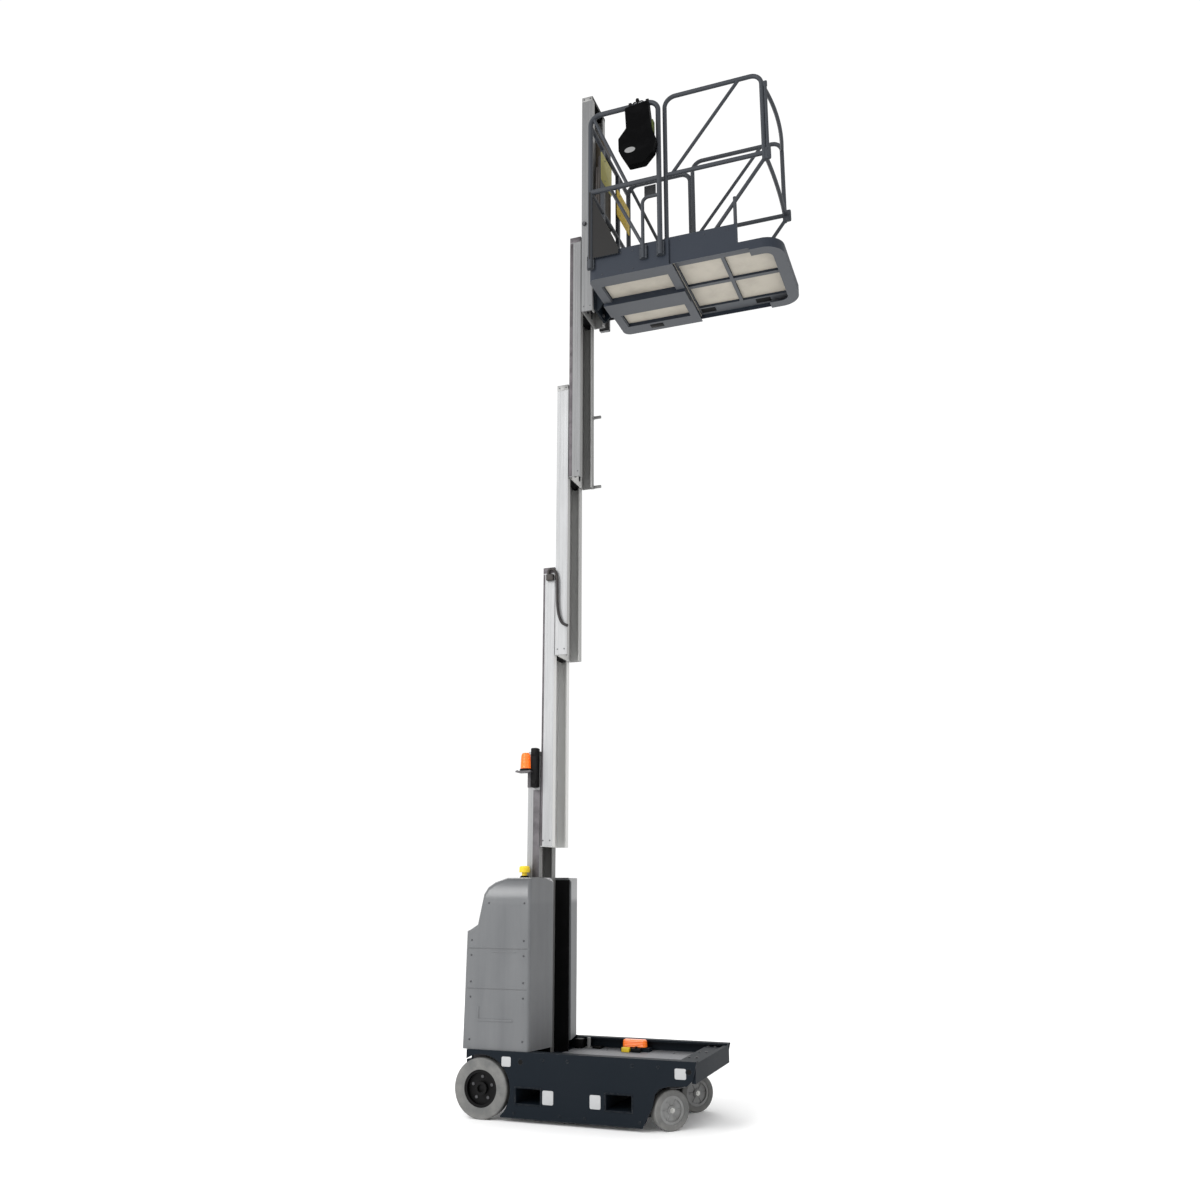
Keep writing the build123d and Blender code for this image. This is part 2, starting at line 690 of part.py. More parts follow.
# front rail: bowed top tube and mid tube between the front posts
post_face = ext_rail_y - ext_r
with BuildPart() as front_rail:
    for z, bow in ((ext_high - 70, 34), (ext_mid, 12)):
        with BuildLine(Plane.XY.offset(z)) as path:
            ThreePointArc((axle + ext_post_x, -ext_rail_y), (axle + ext_post_x + bow, 0),
                          (axle + ext_post_x, ext_rail_y))
        with BuildSketch(Plane(origin=path.line @ 0, z_dir=path.line % 0)):
            Circle(ext_r - 1)
        sweep()
    with Locations((axle + ext_post_x, 0, lift + 1250)):
        Box(200, 2 * post_face, ext_top - lift, mode=Mode.INTERSECT)
front_rail.part.label = "front_rail"
export_step(front_rail.part, "parts/front_rail.step")

# left-hand twins of the right-hand pieces
twins = (
    ("side_plate_left", side_plate_right),
    ("cover_left", cover_right),
    ("main_rail_left", main_rail_right),
    ("extension_rail_left", extension_rail_right),
)
for name, original in twins:
    with BuildPart() as twin:
        mirror(original.part, about=Plane.XZ)
    twin.part.label = name
    export_step(twin.part, f"parts/{name}.step")
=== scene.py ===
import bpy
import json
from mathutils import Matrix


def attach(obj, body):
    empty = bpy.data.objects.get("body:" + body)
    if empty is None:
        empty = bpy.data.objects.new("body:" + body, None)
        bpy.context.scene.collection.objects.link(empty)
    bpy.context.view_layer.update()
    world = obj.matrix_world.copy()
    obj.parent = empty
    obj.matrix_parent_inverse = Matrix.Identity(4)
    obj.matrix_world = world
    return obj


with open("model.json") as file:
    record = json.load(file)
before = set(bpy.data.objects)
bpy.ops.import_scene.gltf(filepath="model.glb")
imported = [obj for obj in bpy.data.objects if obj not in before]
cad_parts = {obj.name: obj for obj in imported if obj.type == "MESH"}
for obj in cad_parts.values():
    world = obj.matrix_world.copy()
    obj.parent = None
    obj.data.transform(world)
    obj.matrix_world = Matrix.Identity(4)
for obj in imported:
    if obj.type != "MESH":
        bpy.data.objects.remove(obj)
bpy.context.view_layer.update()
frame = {"nodes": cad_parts, "record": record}

import json
import math
import bmesh
import bpy
from mathutils import Vector

print("mast lift: frame loaded,", len(frame["nodes"]), "nodes")

axle = -0.83            # x of the rear axle, as in the CAD


# ---- camera, floor and lights

cameraSettings = {
    "place": (1.9032, -5.9712, 1.226),
    "turn": 20.213,      # degrees to the left of +Y
    "tilt": 13.794,      # degrees up
    "lens": 32.162,
    "shift": (0.002, 0.0169),
}
studio = {
    "paper": (0.995, 0.995, 0.995),
    "skyStrength": 1.04,
    "floorSize": 40,
}
# name, place, aims at, size, watts
lamps = (
    ("keySoftbox", (-4.2, -7, 6.5), (0, 0, 3), 4.5, 430),
    ("lowSoftbox", (-1.5, -7.5, 1.4), (0, 0, 1.6), 3, 110),
    ("backSoftbox", (-3.5, 6.5, 6), (0, 0, 3), 4.5, 160),
)


def shown(name, data):
    made = bpy.data.objects.new(name, data)
    bpy.context.scene.collection.objects.link(made)
    return made


def placeCamera(trim):
    turn, tilt = math.radians(trim["turn"]), math.radians(trim["tilt"])
    forward = Vector((-math.sin(turn) * math.cos(tilt), math.cos(turn) * math.cos(tilt), math.sin(tilt)))
    data = bpy.data.cameras.new("portraitCamera")
    data.lens = trim["lens"]
    data.sensor_width = 36
    data.shift_x, data.shift_y = trim["shift"]
    data.clip_end = 200
    camera = shown("portraitCamera", data)
    camera.location = trim["place"]
    camera.rotation_euler = forward.to_track_quat("-Z", "Y").to_euler()
    bpy.context.scene.camera = camera


def hangLamp(name, place, target, size, watts):
    data = bpy.data.lights.new(name, "AREA")
    data.shape = "DISK"
    data.size = size
    data.energy = watts
    lamp = shown(name, data)
    lamp.location = place
    lamp.rotation_euler = (Vector(target) - Vector(place)).to_track_quat("-Z", "Y").to_euler()


# ---- shader arithmetic: a wire is one output socket, used like a number

class Wire:
    def __init__(self, finish, socket):
        self.finish = finish
        self.socket = socket

    def maths(self, operation, other, flip=False, clamp=False):
        first, second = (other, self) if flip else (self, other)
        return self.finish.add("ShaderNodeMath", {"operation": operation, "use_clamp": clamp},
                               {0: first, 1: second})

    def __add__(self, other): return self.maths("ADD", other)
    def __radd__(self, other): return self.maths("ADD", other, flip=True)
    def __sub__(self, other): return self.maths("SUBTRACT", other)
    def __rsub__(self, other): return self.maths("SUBTRACT", other, flip=True)
    def __mul__(self, other): return self.maths("MULTIPLY", other)
    def __truediv__(self, other): return self.maths("DIVIDE", other)
    def __pow__(self, other): return self.maths("POWER", other)
    def __gt__(self, other): return self.maths("GREATER_THAN", other)
    def __lt__(self, other): return self.maths("LESS_THAN", other)

    def held(self): return self.maths("ADD", 0, clamp=True)         # kept between 0 and 1
    def size(self): return self.maths("ABSOLUTE", 0)
    def wave(self): return self.maths("SINE", 0)

    def over(self, low, high):                                      # 0 at low, 1 at high
        return self.finish.add("ShaderNodeMapRange", {"clamp": True},
                               {0: self, 1: low, 2: high, 3: 0, 4: 1})


class Finish:
    def __init__(self, name, gloss, **fixed):
        self.material = bpy.data.materials.new(name)
        self.material.use_nodes = True
        self.tree = self.material.node_tree
        self.tree.nodes.clear()
        self.output = self.tree.nodes.new("ShaderNodeOutputMaterial")
        self.shader = self.tree.nodes.new("ShaderNodeBsdfPrincipled")
        self.tree.links.new(self.shader.outputs[0], self.output.inputs["Surface"])
        for socket, value in {"Specular IOR Level": gloss, **fixed}.items():
            self.shader.inputs[socket.replace("_", " ")].default_value = value
        self.place = self.add("ShaderNodeTexCoord", out="Object")

    def add(self, kind, options=None, sockets=None, out=0):
        node = self.tree.nodes.new(kind)
        for name, value in (options or {}).items():
            setattr(node, name, value)
        for name, value in (sockets or {}).items():
            if isinstance(value, Wire):
                self.tree.links.new(value.socket, node.inputs[name])
            else:
                node.inputs[name].default_value = value
        return Wire(self, node.outputs[out])

    def axes(self):
        node = self.tree.nodes.new("ShaderNodeSeparateXYZ")
        self.tree.links.new(self.place.socket, node.inputs[0])
        return [Wire(self, socket) for socket in node.outputs]

    def facing(self, axis):                                         # 0, 1 or 2 of the surface normal
        normal = self.add("ShaderNodeNewGeometry", out="Normal")
        return self.add("ShaderNodeSeparateXYZ", None, {0: normal}, out=axis)

    def noise(self, scale, detail, rough, upward=1):                # drawn out upwards when upward is below 1
        at = self.place
        if upward < 1:
            at = self.add("ShaderNodeVectorMath", {"operation": "MULTIPLY"}, {0: at, 1: (1, 1, upward)})
        return self.add("ShaderNodeTexNoise", None,
                        {"Vector": at, "Scale": scale, "Detail": detail, "Roughness": rough})

    def blend(self, share, first, second):
        return self.add("ShaderNodeMix", {"data_type": "RGBA"}, {0: share, 6: first, 7: second}, out=2)

    def edges(self, radius, low=0.02, high=0.25):                   # 1 on outer edges; on painted steel it marks wear, on the covers it carries a painted highlight
        rounded = self.add("ShaderNodeBevel", {"samples": 4}, {"Radius": radius})
        flat = self.add("ShaderNodeNewGeometry", out="Normal")
        agree = self.add("ShaderNodeVectorMath", {"operation": "DOT_PRODUCT"}, {0: rounded, 1: flat}, out=1)
        return (1 - agree).over(low, high)

    def paint(self, **wires):
        for socket, value in wires.items():
            self.tree.links.new(value.socket, self.shader.inputs[socket.replace("_", " ")])

    def bumps(self, height, depth, strength):
        normal = self.add("ShaderNodeBump", None, {"Height": height, "Distance": depth, "Strength": strength})
        self.paint(Normal=normal)
        return self.material

    def done(self, colour, rough, height, depth, strength):
        self.paint(Base_Color=colour, Roughness=rough.held())
        return self.bumps(height, depth, strength)


def rgb(red, green, blue):
    return (red, green, blue, 1)


# ---- finishes, one dictionary each

chassisLook = {"colour": rgb(0.0045, 0.0078, 0.012), "dusty": rgb(0.01, 0.013, 0.017),
               "bare": rgb(0.12, 0.12, 0.12), "peel": 420, "roughness": 0.5, "gloss": 0.1}
toeLook = {"colour": rgb(0.016, 0.021, 0.031), "dusty": rgb(0.026, 0.03, 0.038), "under": rgb(0.085, 0.09, 0.098),
           "bare": rgb(0.16, 0.16, 0.16), "peel": 420, "roughness": 0.48, "gloss": 0.22}
coverLook = {"colour": rgb(0.088, 0.092, 0.097), "pale": rgb(0.122, 0.126, 0.131), "grain": 900,
             "shoulder": 1.11, "lean": 2.5}      # height where the top edge starts to lean in, and how fast
deckLook = {"colour": rgb(0.15, 0.155, 0.165), "scuffed": rgb(0.27, 0.27, 0.27), "tread": 0.034}
# the front-face and channel tones of each section are painted light and shade
mastLook = {"streaks": 260, "wallHalf": 0.1165, "openingHalf": 0.0845,
            "sides": {1: 0.3, 2: 0.345, 3: 0.345, 4: 0.185, 5: 0.185},
            "fronts": {1: 0.16, 2: 0.6, 3: 0.34, 4: 0.2, 5: 0.24},
            "insides": {1: 0.45, 2: 0.7, 3: 0.6, 4: 0.58, 5: 0.24}}
railLook = {"colour": rgb(0.03, 0.034, 0.041), "dusty": rgb(0.045, 0.046, 0.048),
            "bare": rgb(0.15, 0.15, 0.15), "peel": 380, "roughness": 0.42, "gloss": 0.25}
plasticLook = {"colour": rgb(0.0016, 0.0016, 0.0018), "pale": rgb(0.006, 0.006, 0.0065),
               "grain": 1400, "gloss": 0.12}
tyreLook = {"colour": rgb(0.105, 0.107, 0.105), "scuffed": rgb(0.185, 0.182, 0.174), "grain": 700}
gussetShadeZone = (5.01, 5.485, axle + 0.82)      # lowest z, highest z and foremost x of the painted shade on the gusset plates
controlOval = {"centre": (axle + 0.9145, 5.683), "half": (0.036, 0.02)}     # x and z, metres
sheetLook = {"colour": rgb(0.4, 0.37, 0.315), "grime": rgb(0.25, 0.23, 0.195)}


def paintedSteel(name, look, wear):
    finish = Finish(name, look["gloss"])
    patches = finish.noise(2.2, 4, 0.6)
    worn = 0
    if wear:
        specks = finish.noise(90, 3, 0.65)
        worn = (finish.edges(0.0025) * specks.over(0.42, 0.62) * wear).held()
    dust = (patches.over(0.42, 0.75) * 0.35).held()
    colour = finish.blend(dust, look["colour"], look["dusty"])
    if "under" in look:
        below = (0 - finish.facing(2)).over(0.6, 0.9)
        colour = finish.blend((below * (0.75 + patches * 0.3)).held(), colour, look["under"])
    # painted shade: the side faces of the gusset plates are painted near black
    if "gusset" in look:
        x, y, z = finish.axes()
        low, high, front = gussetShadeZone
        inGussetShade = (finish.facing(1).size() > 0.95) * (z > low) * (z < high) * (x < front)
        colour = finish.blend(inGussetShade, colour, look["gusset"])
    colour = finish.blend(worn, colour, look["bare"])
    rough = look["roughness"] + patches * 0.18 - worn * 0.12
    peel = finish.noise(look["peel"], 2, 0.5)
    return finish.done(colour, rough, peel + patches * 0.4, 0.00022, 0.55)


def mouldedCover(name, look):
    finish = Finish(name, 0.5)
    x, y, z = finish.axes()
    clouds = finish.noise(1.7, 3, 0.5)
    grain = finish.noise(look["grain"], 2, 0.7)
    streaks = finish.noise(16, 3, 0.6, 0.12)
    share = (clouds * 0.6 + streaks * 0.4).over(0.36, 0.66)
    colour = finish.blend(share, look["colour"], look["pale"])
    # painted highlight: the covers' outer edges are painted paler
    colour = finish.blend((finish.edges(0.004, 0.03, 0.3) * 0.35).held(), colour, rgb(0.2, 0.2, 0.205))
    rise = (z - look["shoulder"]).maths("MAXIMUM", 0)
    polished = rise.over(0, 0.03) * 0.26
    height = grain * 0.0001 - rise * rise * look["lean"]
    return finish.done(colour, 0.48 + grain * 0.08 + clouds * 0.06 - polished, height, 1, 1)


def extrudedAlloy(name, look, section):
    finish = Finish(name, 0.4, Metallic=0.25)
    lines = finish.noise(look["streaks"], 3, 0.6, 0.01)
    clouds = finish.noise(2.6, 4, 0.6, 0.35)
    smears = finish.noise(30, 3, 0.6, 0.06)
    share = (clouds * 0.55 + smears * 0.45).over(0.38, 0.66)
    bright, front, inside = (look[part][section] for part in ("sides", "fronts", "insides"))
    colour = finish.blend(share, rgb(bright, bright * 1.01, bright * 1.025),
                          rgb(bright * 0.78, bright * 0.79, bright * 0.8))
    # painted light and shade: the front faces and the channel get tones of their own, set per section
    x, y, z = finish.axes()
    paintedToneFaces = finish.facing(0).over(0.6, 0.85) + (y.size() < look["wallHalf"])
    paintedFaceTone = finish.blend(y.size() < look["openingHalf"], rgb(front, front, front * 0.98),
                         rgb(inside, inside, inside * 0.98))
    colour = finish.blend((paintedToneFaces * (0.8 + smears * 0.3)).held(), colour, paintedFaceTone)
    return finish.done(colour, 0.34 + lines * 0.16 + clouds * 0.14, lines, 0.00016, 0.6)


def deckSheet(name, look):
    finish = Finish(name, 0.4)
    x, y, z = finish.axes()
    step = look["tread"]
    # raised bars of tread plate, turned by turns
    first = ((x + y) * (math.pi / step)).wave().size()
    second = ((x - y) * (math.pi / step)).wave().size()
    bars = (first ** 9) * (second ** 1.6) + (second ** 9) * (first ** 1.6)
    grit = finish.noise(520, 3, 0.7)
    clouds = finish.noise(5, 4, 0.6)
    worn = (bars * clouds.over(0.4, 0.62)).held()
    colour = finish.blend(clouds.over(0.35, 0.7) * 0.5, look["colour"], rgb(0.1, 0.1, 0.105))
    colour = finish.blend(worn * 0.7, colour, look["scuffed"])
    return finish.done(colour, 0.52 + grit * 0.15 - worn * 0.12, bars + grit * 0.06, 0.0011, 0.8)


def grainPlastic(name, look, roughness, grime):
    finish = Finish(name, look.get("gloss", 0.22))
    grain = finish.noise(look.get("grain", 1200), 2, 0.7)
    clouds = finish.noise(9, 4, 0.6)
    share = (finish.edges(0.0018) * 0.4 + clouds.over(0.45, 0.8) * grime).held()
    colour = finish.blend(share, look["colour"], look["pale"])
    return finish.done(colour, roughness + grain * 0.12 + clouds * 0.1, grain, 0.00018, 0.5)


def tyreRubber(name, look):
    finish = Finish(name, 0.3)
    grain = finish.noise(look["grain"], 3, 0.7)
    clouds = finish.noise(11, 4, 0.65)
    x, y, z = finish.axes()
    floorDirt = (1 - z.over(0, 0.05)) * 0.5
    share = (clouds.over(0.38, 0.68) * 0.8 + floorDirt).held()
    colour = finish.blend(share, look["colour"], look["scuffed"])
    return finish.done(colour, 0.62 + grain * 0.2, grain + clouds * 0.5, 0.0004, 0.6)


def floorUnderside(name, look):
    finish = Finish(name, 0.35)
    clouds = finish.noise(6, 5, 0.65)
    grain = finish.noise(300, 2, 0.6)
    colour = finish.blend((clouds.over(0.42, 0.75) * 0.55).held(), look["colour"], look["grime"])
    return finish.done(colour, 0.45 + grain * 0.15, grain + clouds, 0.0003, 0.5)


def lensPlastic(name, colour, glow):
    finish = Finish(name, 0.5, Roughness=0.18, Transmission_Weight=0.25,
                    Emission_Strength=glow, IOR=1.49)
    x, y, z = finish.axes()
    ribs = (z * (2 * math.pi / 0.0085)).wave()
    deep = rgb(colour[0] * 0.7, colour[1] * 0.55, colour[2] * 0.5)
    tone = finish.blend(ribs.over(-1, 1), deep, colour)
    finish.paint(Base_Color=tone, Emission_Color=tone)
    return finish.bumps(ribs, 0.0006, 0.7)


def controlCase(name, look):
    # black case; the outer face carries a blank pale oval
    finish = Finish(name, 0.02)
    x, y, z = finish.axes()
    grain = finish.noise(look["grain"], 2, 0.7)
    middle, half = controlOval["centre"], controlOval["half"]
    across, upward = (x - middle[0]) / half[0], (z - middle[1]) / half[1]
    inside = 1 - (across * across + upward * upward).over(0.86, 1)
    clouds = finish.noise(14, 4, 0.6)
    colour = finish.blend(clouds.over(0.5, 0.8) * 0.5, look["colour"], look["pale"])
    colour = finish.blend(inside, colour, finish.blend(clouds, rgb(0.26, 0.26, 0.26), rgb(0.17, 0.17, 0.17)))
    return finish.done(colour, 0.42 + grain * 0.12, grain + inside * 3, 0.00018, 0.5)


def hoseRubber(name, colour):
    finish = Finish(name, 0.3)
    weave = finish.noise(260, 3, 0.6)
    clouds = finish.noise(12, 3, 0.6)
    tone = finish.blend(clouds.over(0.4, 0.7), colour, rgb(0.045, 0.038, 0.033))
    return finish.done(tone, 0.45 + weave * 0.2, weave, 0.0003, 0.5)


def bareMetal(name, colour, roughness, scale):
    finish = Finish(name, 0.5, Metallic=0.9)
    scratches = finish.noise(scale, 4, 0.7)
    clouds = finish.noise(14, 3, 0.6)
    darker = rgb(colour[0] * 0.6, colour[1] * 0.6, colour[2] * 0.6)
    tone = finish.blend(clouds.over(0.4, 0.7), colour, darker)
    return finish.done(tone, roughness + scratches * 0.22, scratches, 0.0001, 0.4)


def plastic(colour, second):
    return {"colour": rgb(*colour), "pale": rgb(*second)}


# name, recipe, what the recipe needs
recipes = (
    ("chassisPaint", paintedSteel, chassisLook, 0.6),
    ("toePaint", paintedSteel, toeLook, 0.5),
    ("carriagePaint", paintedSteel, dict(chassisLook, peel=380), 0.8),
    ("railPaint", paintedSteel, railLook, 0),
    # the side rails carry painted shade on their gusset plates
    ("sideRailPaint", paintedSteel, dict(railLook, gusset=rgb(0.0045, 0.004, 0.0038)), 0),
    ("coverGrey", mouldedCover, coverLook),
    ("deckGrey", deckSheet, deckLook),
    ("greyTyre", tyreRubber, tyreLook),
    ("floorSheet", floorUnderside, sheetLook),
    ("amberLens", lensPlastic, rgb(0.95, 0.22, 0.02), 0.35),
    ("controlPlastic", controlCase, plasticLook),
    ("hoseRubber", hoseRubber, rgb(0.018, 0.016, 0.017)),
    ("blackPlastic", grainPlastic, plasticLook, 0.42, 0.5),
    ("blackHub", grainPlastic, dict(plasticLook, grain=800), 0.36, 0.5),
    ("casterGrey", grainPlastic, plastic((0.21, 0.212, 0.21), (0.1, 0.097, 0.092)), 0.45, 0.8),
    ("yellowPlastic", grainPlastic, plastic((0.78, 0.56, 0.03), (0.45, 0.33, 0.05)), 0.4, 0.4),
    ("brownCase", grainPlastic, plastic((0.024, 0.018, 0.011), (0.045, 0.036, 0.024)), 0.5, 0.6),
    ("yellowPlate", grainPlastic, plastic((0.36, 0.25, 0.015), (0.2, 0.15, 0.03)), 0.45, 0.7),
    ("olivePlate", grainPlastic, plastic((0.25, 0.23, 0.055), (0.16, 0.14, 0.04)), 0.45, 0.7),
    ("greenPlastic", grainPlastic, plastic((0.05, 0.066, 0.012), (0.035, 0.045, 0.012)), 0.4, 0.4),
    ("redPlastic", grainPlastic, plastic((0.62, 0.025, 0.02), (0.35, 0.03, 0.03)), 0.34, 0.3),
    ("whitePlate", grainPlastic, plastic((0.38, 0.385, 0.39), (0.29, 0.29, 0.285)), 0.4, 0.5),
    ("batteryCase", grainPlastic, plastic((0.03, 0.03, 0.034), (0.08, 0.08, 0.085)), 0.5, 0.6),
    ("stripAlloy", bareMetal, rgb(0.135, 0.128, 0.135), 0.5, 160),
    ("headAlloy", bareMetal, rgb(0.115, 0.105, 0.112), 0.5, 160),
    ("paleStrip", bareMetal, rgb(0.33, 0.33, 0.325), 0.45, 160),
    ("zincBolt", bareMetal, rgb(0.52, 0.52, 0.5), 0.32, 160),
    ("darkSteel", bareMetal, rgb(0.09, 0.09, 0.095), 0.4, 160),
    ("castBlock", bareMetal, rgb(0.14, 0.14, 0.145), 0.55, 60),
)
finishes = {name: recipe(name, *details) for name, recipe, *details in recipes}
finishOfNode = {
    "beacon_bracket": "stripAlloy", "main_rail_right": "sideRailPaint", "main_rail_left": "sideRailPaint",
    "platform_frame": "toePaint", "extension_frame": "toePaint", "platform_control_box": "controlPlastic",
    "caster_hub_right": "casterGrey", "caster_hub_left": "casterGrey",
}
# one copy of the alloy per section, each with its own painted front and channel tones
for section in mastLook["sides"]:
    finishes[f"mastAlloy{section}"] = extrudedAlloy(f"mastAlloy{section}", mastLook, section)
    finishOfNode[f"mast_{section}"] = f"mastAlloy{section}"
for subpart in frame["record"]["subparts"]:
    node = frame["nodes"][subpart["node"]]
    # any other node has the finish of its slot's name, black_plastic the finish blackPlastic
    first, second = subpart["material_slot"].split("_")
    finish = finishOfNode.get(subpart["node"], first + second.capitalize())
    node.data.materials.clear()
    node.data.materials.append(finishes[finish])
print("finishes:", len(finishes))


# ---- mesh helpers, all in metres; a point given as a tuple has its x counted from the rear axle

up, ahead, aft = (0, 0, 1), (1, 0, 0), (-1, 0, 0)
bothSides = (("right", -1), ("left", 1))


def place(x, y, z):
    return Vector((axle + x, y, z))


def spot(point):
    return point if isinstance(point, Vector) else place(*point)


def turnsOf(count, offset=0):
    # angles of an even spread round a circle
    return [2 * math.pi * (k + offset) / count for k in range(count)]


def rays(count, side, across, offset=0):
    return [Vector(side) * math.cos(angle) + Vector(across) * math.sin(angle) for angle in turnsOf(count, offset)]


def slab(mesh, low, high, bevel=0, segments=2):
    # a block between any two opposite corners
    low, high = (place(*[pick(pair) for pair in zip(low, high)]) for pick in (min, max))
    made = bmesh.ops.create_cube(mesh, size=1)["verts"]
    size = high - low
    for vert in made:
        vert.co = Vector([along * length for along, length in zip(vert.co, size)]) + (low + high) / 2
    if bevel:
        edges = list(dict.fromkeys(edge for vert in made for edge in vert.link_edges))
        bmesh.ops.bevel(mesh, geom=edges, offset=bevel, segments=segments, profile=0.5, affect="EDGES")


def turned(mesh, profile, centre, axis, sides):
    # profile: radius and height pairs along the axis
    axis = Vector(axis).normalized()
    side = axis.orthogonal().normalized()
    across = axis.cross(side)
    rings = []
    centre = spot(centre)
    for radius, height in profile:
        base = centre + axis * height
        if radius < 1e-6:
            rings.append([mesh.verts.new(base)])
            continue
        rings.append([mesh.verts.new(base + ray * radius) for ray in rays(sides, side, across)])
    pairs = list(zip(rings, rings[1:]))
    if len(rings[0]) > 1 and len(rings[-1]) > 1:
        pairs.append((rings[-1], rings[0]))
    for lower, upper in pairs:
        for k in range(sides):
            corner = [lower[k % len(lower)], lower[(k + 1) % len(lower)],
                      upper[(k + 1) % len(upper)], upper[k % len(upper)]]
            corner = list(dict.fromkeys(corner))
            if len(corner) > 2:
                mesh.faces.new(corner)


def bentPath(points, bend, steps=6):
    path = [points[0]]
    for before, corner, after in zip(points, points[1:], points[2:]):
        inward, outward = before - corner, after - corner
        reach = min(bend, inward.length * 0.49, outward.length * 0.49)
        start, end = corner + inward.normalized() * reach, corner + outward.normalized() * reach
        for k in range(steps + 1):
            share = k / steps
            path.append(start.lerp(corner, share).lerp(corner.lerp(end, share), share))
    path.append(points[-1])
    return path


def tubeAlong(mesh, points, radius, bend, sides):
    path = [spot(point) for point in points]
    if bend:
        path = bentPath(path, bend)
    rings = []
    across = None
    for k, point in enumerate(path):
        onward = (path[min(k + 1, len(path) - 1)] - path[max(k - 1, 0)]).normalized()
        if across is None:
            across = onward.orthogonal().normalized()
        else:
            across = (across - onward * across.dot(onward)).normalized()
        other = onward.cross(across)
        rings.append([mesh.verts.new(point + ray * radius) for ray in rays(sides, across, other)])
    for lower, upper in zip(rings, rings[1:]):
        for j in range(sides):
            mesh.faces.new([lower[j], lower[(j + 1) % sides], upper[(j + 1) % sides], upper[j]])
    mesh.faces.new(rings[0])
    mesh.faces.new(rings[-1])


def flatPlate(mesh, outline, origin, right, top, thickness, bevel=0):
    # outline: pairs along right and top; grows along right x top
    right, top = Vector(right).normalized(), Vector(top).normalized()
    outward = right.cross(top)
    origin = spot(origin)
    front = [mesh.verts.new(origin + right * u + top * v + outward * thickness) for u, v in outline]
    back = [mesh.verts.new(origin + right * u + top * v) for u, v in outline]
    count = len(outline)
    faces = [mesh.faces.new(front), mesh.faces.new(list(reversed(back)))]
    for k in range(count):
        faces.append(mesh.faces.new([front[k], back[k], back[(k + 1) % count], front[(k + 1) % count]]))
    if bevel:
        bmesh.ops.bevel(mesh, geom=list(faces[0].edges), offset=bevel, segments=2, profile=0.5, affect="EDGES")


def roundedOutline(width, height, radius, steps=4):
    outline = []
    for u, v, start in ((1, 1, 0), (-1, 1, 90), (-1, -1, 180), (1, -1, 270)):
        for k in range(steps + 1):
            angle = math.radians(start + 90 * k / steps)
            outline.append((u * (width / 2 - radius) + radius * math.cos(angle),
                            v * (height / 2 - radius) + radius * math.sin(angle)))
    return outline


def disc(mesh, radius, low, high, centre, axis, sides=24):
    turned(mesh, [(0, low), (radius, low), (radius, high), (0, high)], centre, axis, sides)


def hexBolt(mesh, centre, outward, across, height):
    radius = across / 2 / math.cos(math.radians(30))
    disc(mesh, across * 0.85, -0.001, 0.0012, centre, outward, 20)
    turned(mesh, [(0, 0.001), (radius, 0.001), (radius, height * 0.85), (radius * 0.86, height), (0, height)],
           centre, outward, 6)


def domeScrew(mesh, centre, outward, radius):
    turned(mesh, [(0, -0.001), (radius, -0.001), (radius, 0.0006), (radius * 0.85, 0.0018),
                  (radius * 0.5, 0.0027), (radius * 0.28, 0.0028), (radius * 0.28, 0.0012), (0, 0.0012)],
           centre, outward, 18)


def build(name, body, finish, slot, *shapes):
    # shapes: rows of a mesh helper and what it needs
    mesh = bmesh.new()
    for shape, *details in shapes:
        shape(mesh, *details)
    bmesh.ops.recalc_face_normals(mesh, faces=mesh.faces)
    data = bpy.data.meshes.new(name)
    mesh.to_mesh(data)
    mesh.free()
    data.shade_smooth()
    data.set_sharp_from_angle(angle=math.radians(35))
    data.materials.append(finishes[finish])
    piece = shown(name, data)
    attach(piece, body)


placeCamera(cameraSettings)
for lampRow in lamps:
    hangLamp(*lampRow)

floorMesh = bmesh.new()
turned(floorMesh, [(0, 0), (studio["floorSize"], 0)], Vector((0, 0, 0)), up, 64)
floorData = bpy.data.meshes.new("studioFloor")
floorMesh.to_mesh(floorData)
floorMesh.free()
paper = Finish("studioPaper", 0.1, Roughness=0.85)
paperTone = paper.blend(paper.noise(0.6, 2, 0.5).over(0.3, 0.7), rgb(*studio["paper"]),
                        rgb(*[value * 0.99 for value in studio["paper"]]))
paper.paint(Base_Color=paperTone)
floorData.materials.append(paper.material)
floor = shown("studioFloor", floorData)

world = bpy.data.worlds.new("softSky")
bpy.context.scene.world = world
world.use_nodes = True
world.node_tree.nodes["Background"].inputs[0].default_value = (1, 1, 1, 1)
world.node_tree.nodes["Background"].inputs[1].default_value = studio["skyStrength"]
bpy.context.scene.view_settings.view_transform = "Standard"
print("studio set")


# ---- wheels

driveWheel = {"radius": 0.155, "half": 0.375, "recess": 0.036, "marks": 40, "bolts": 5, "boltCircle": 0.058}


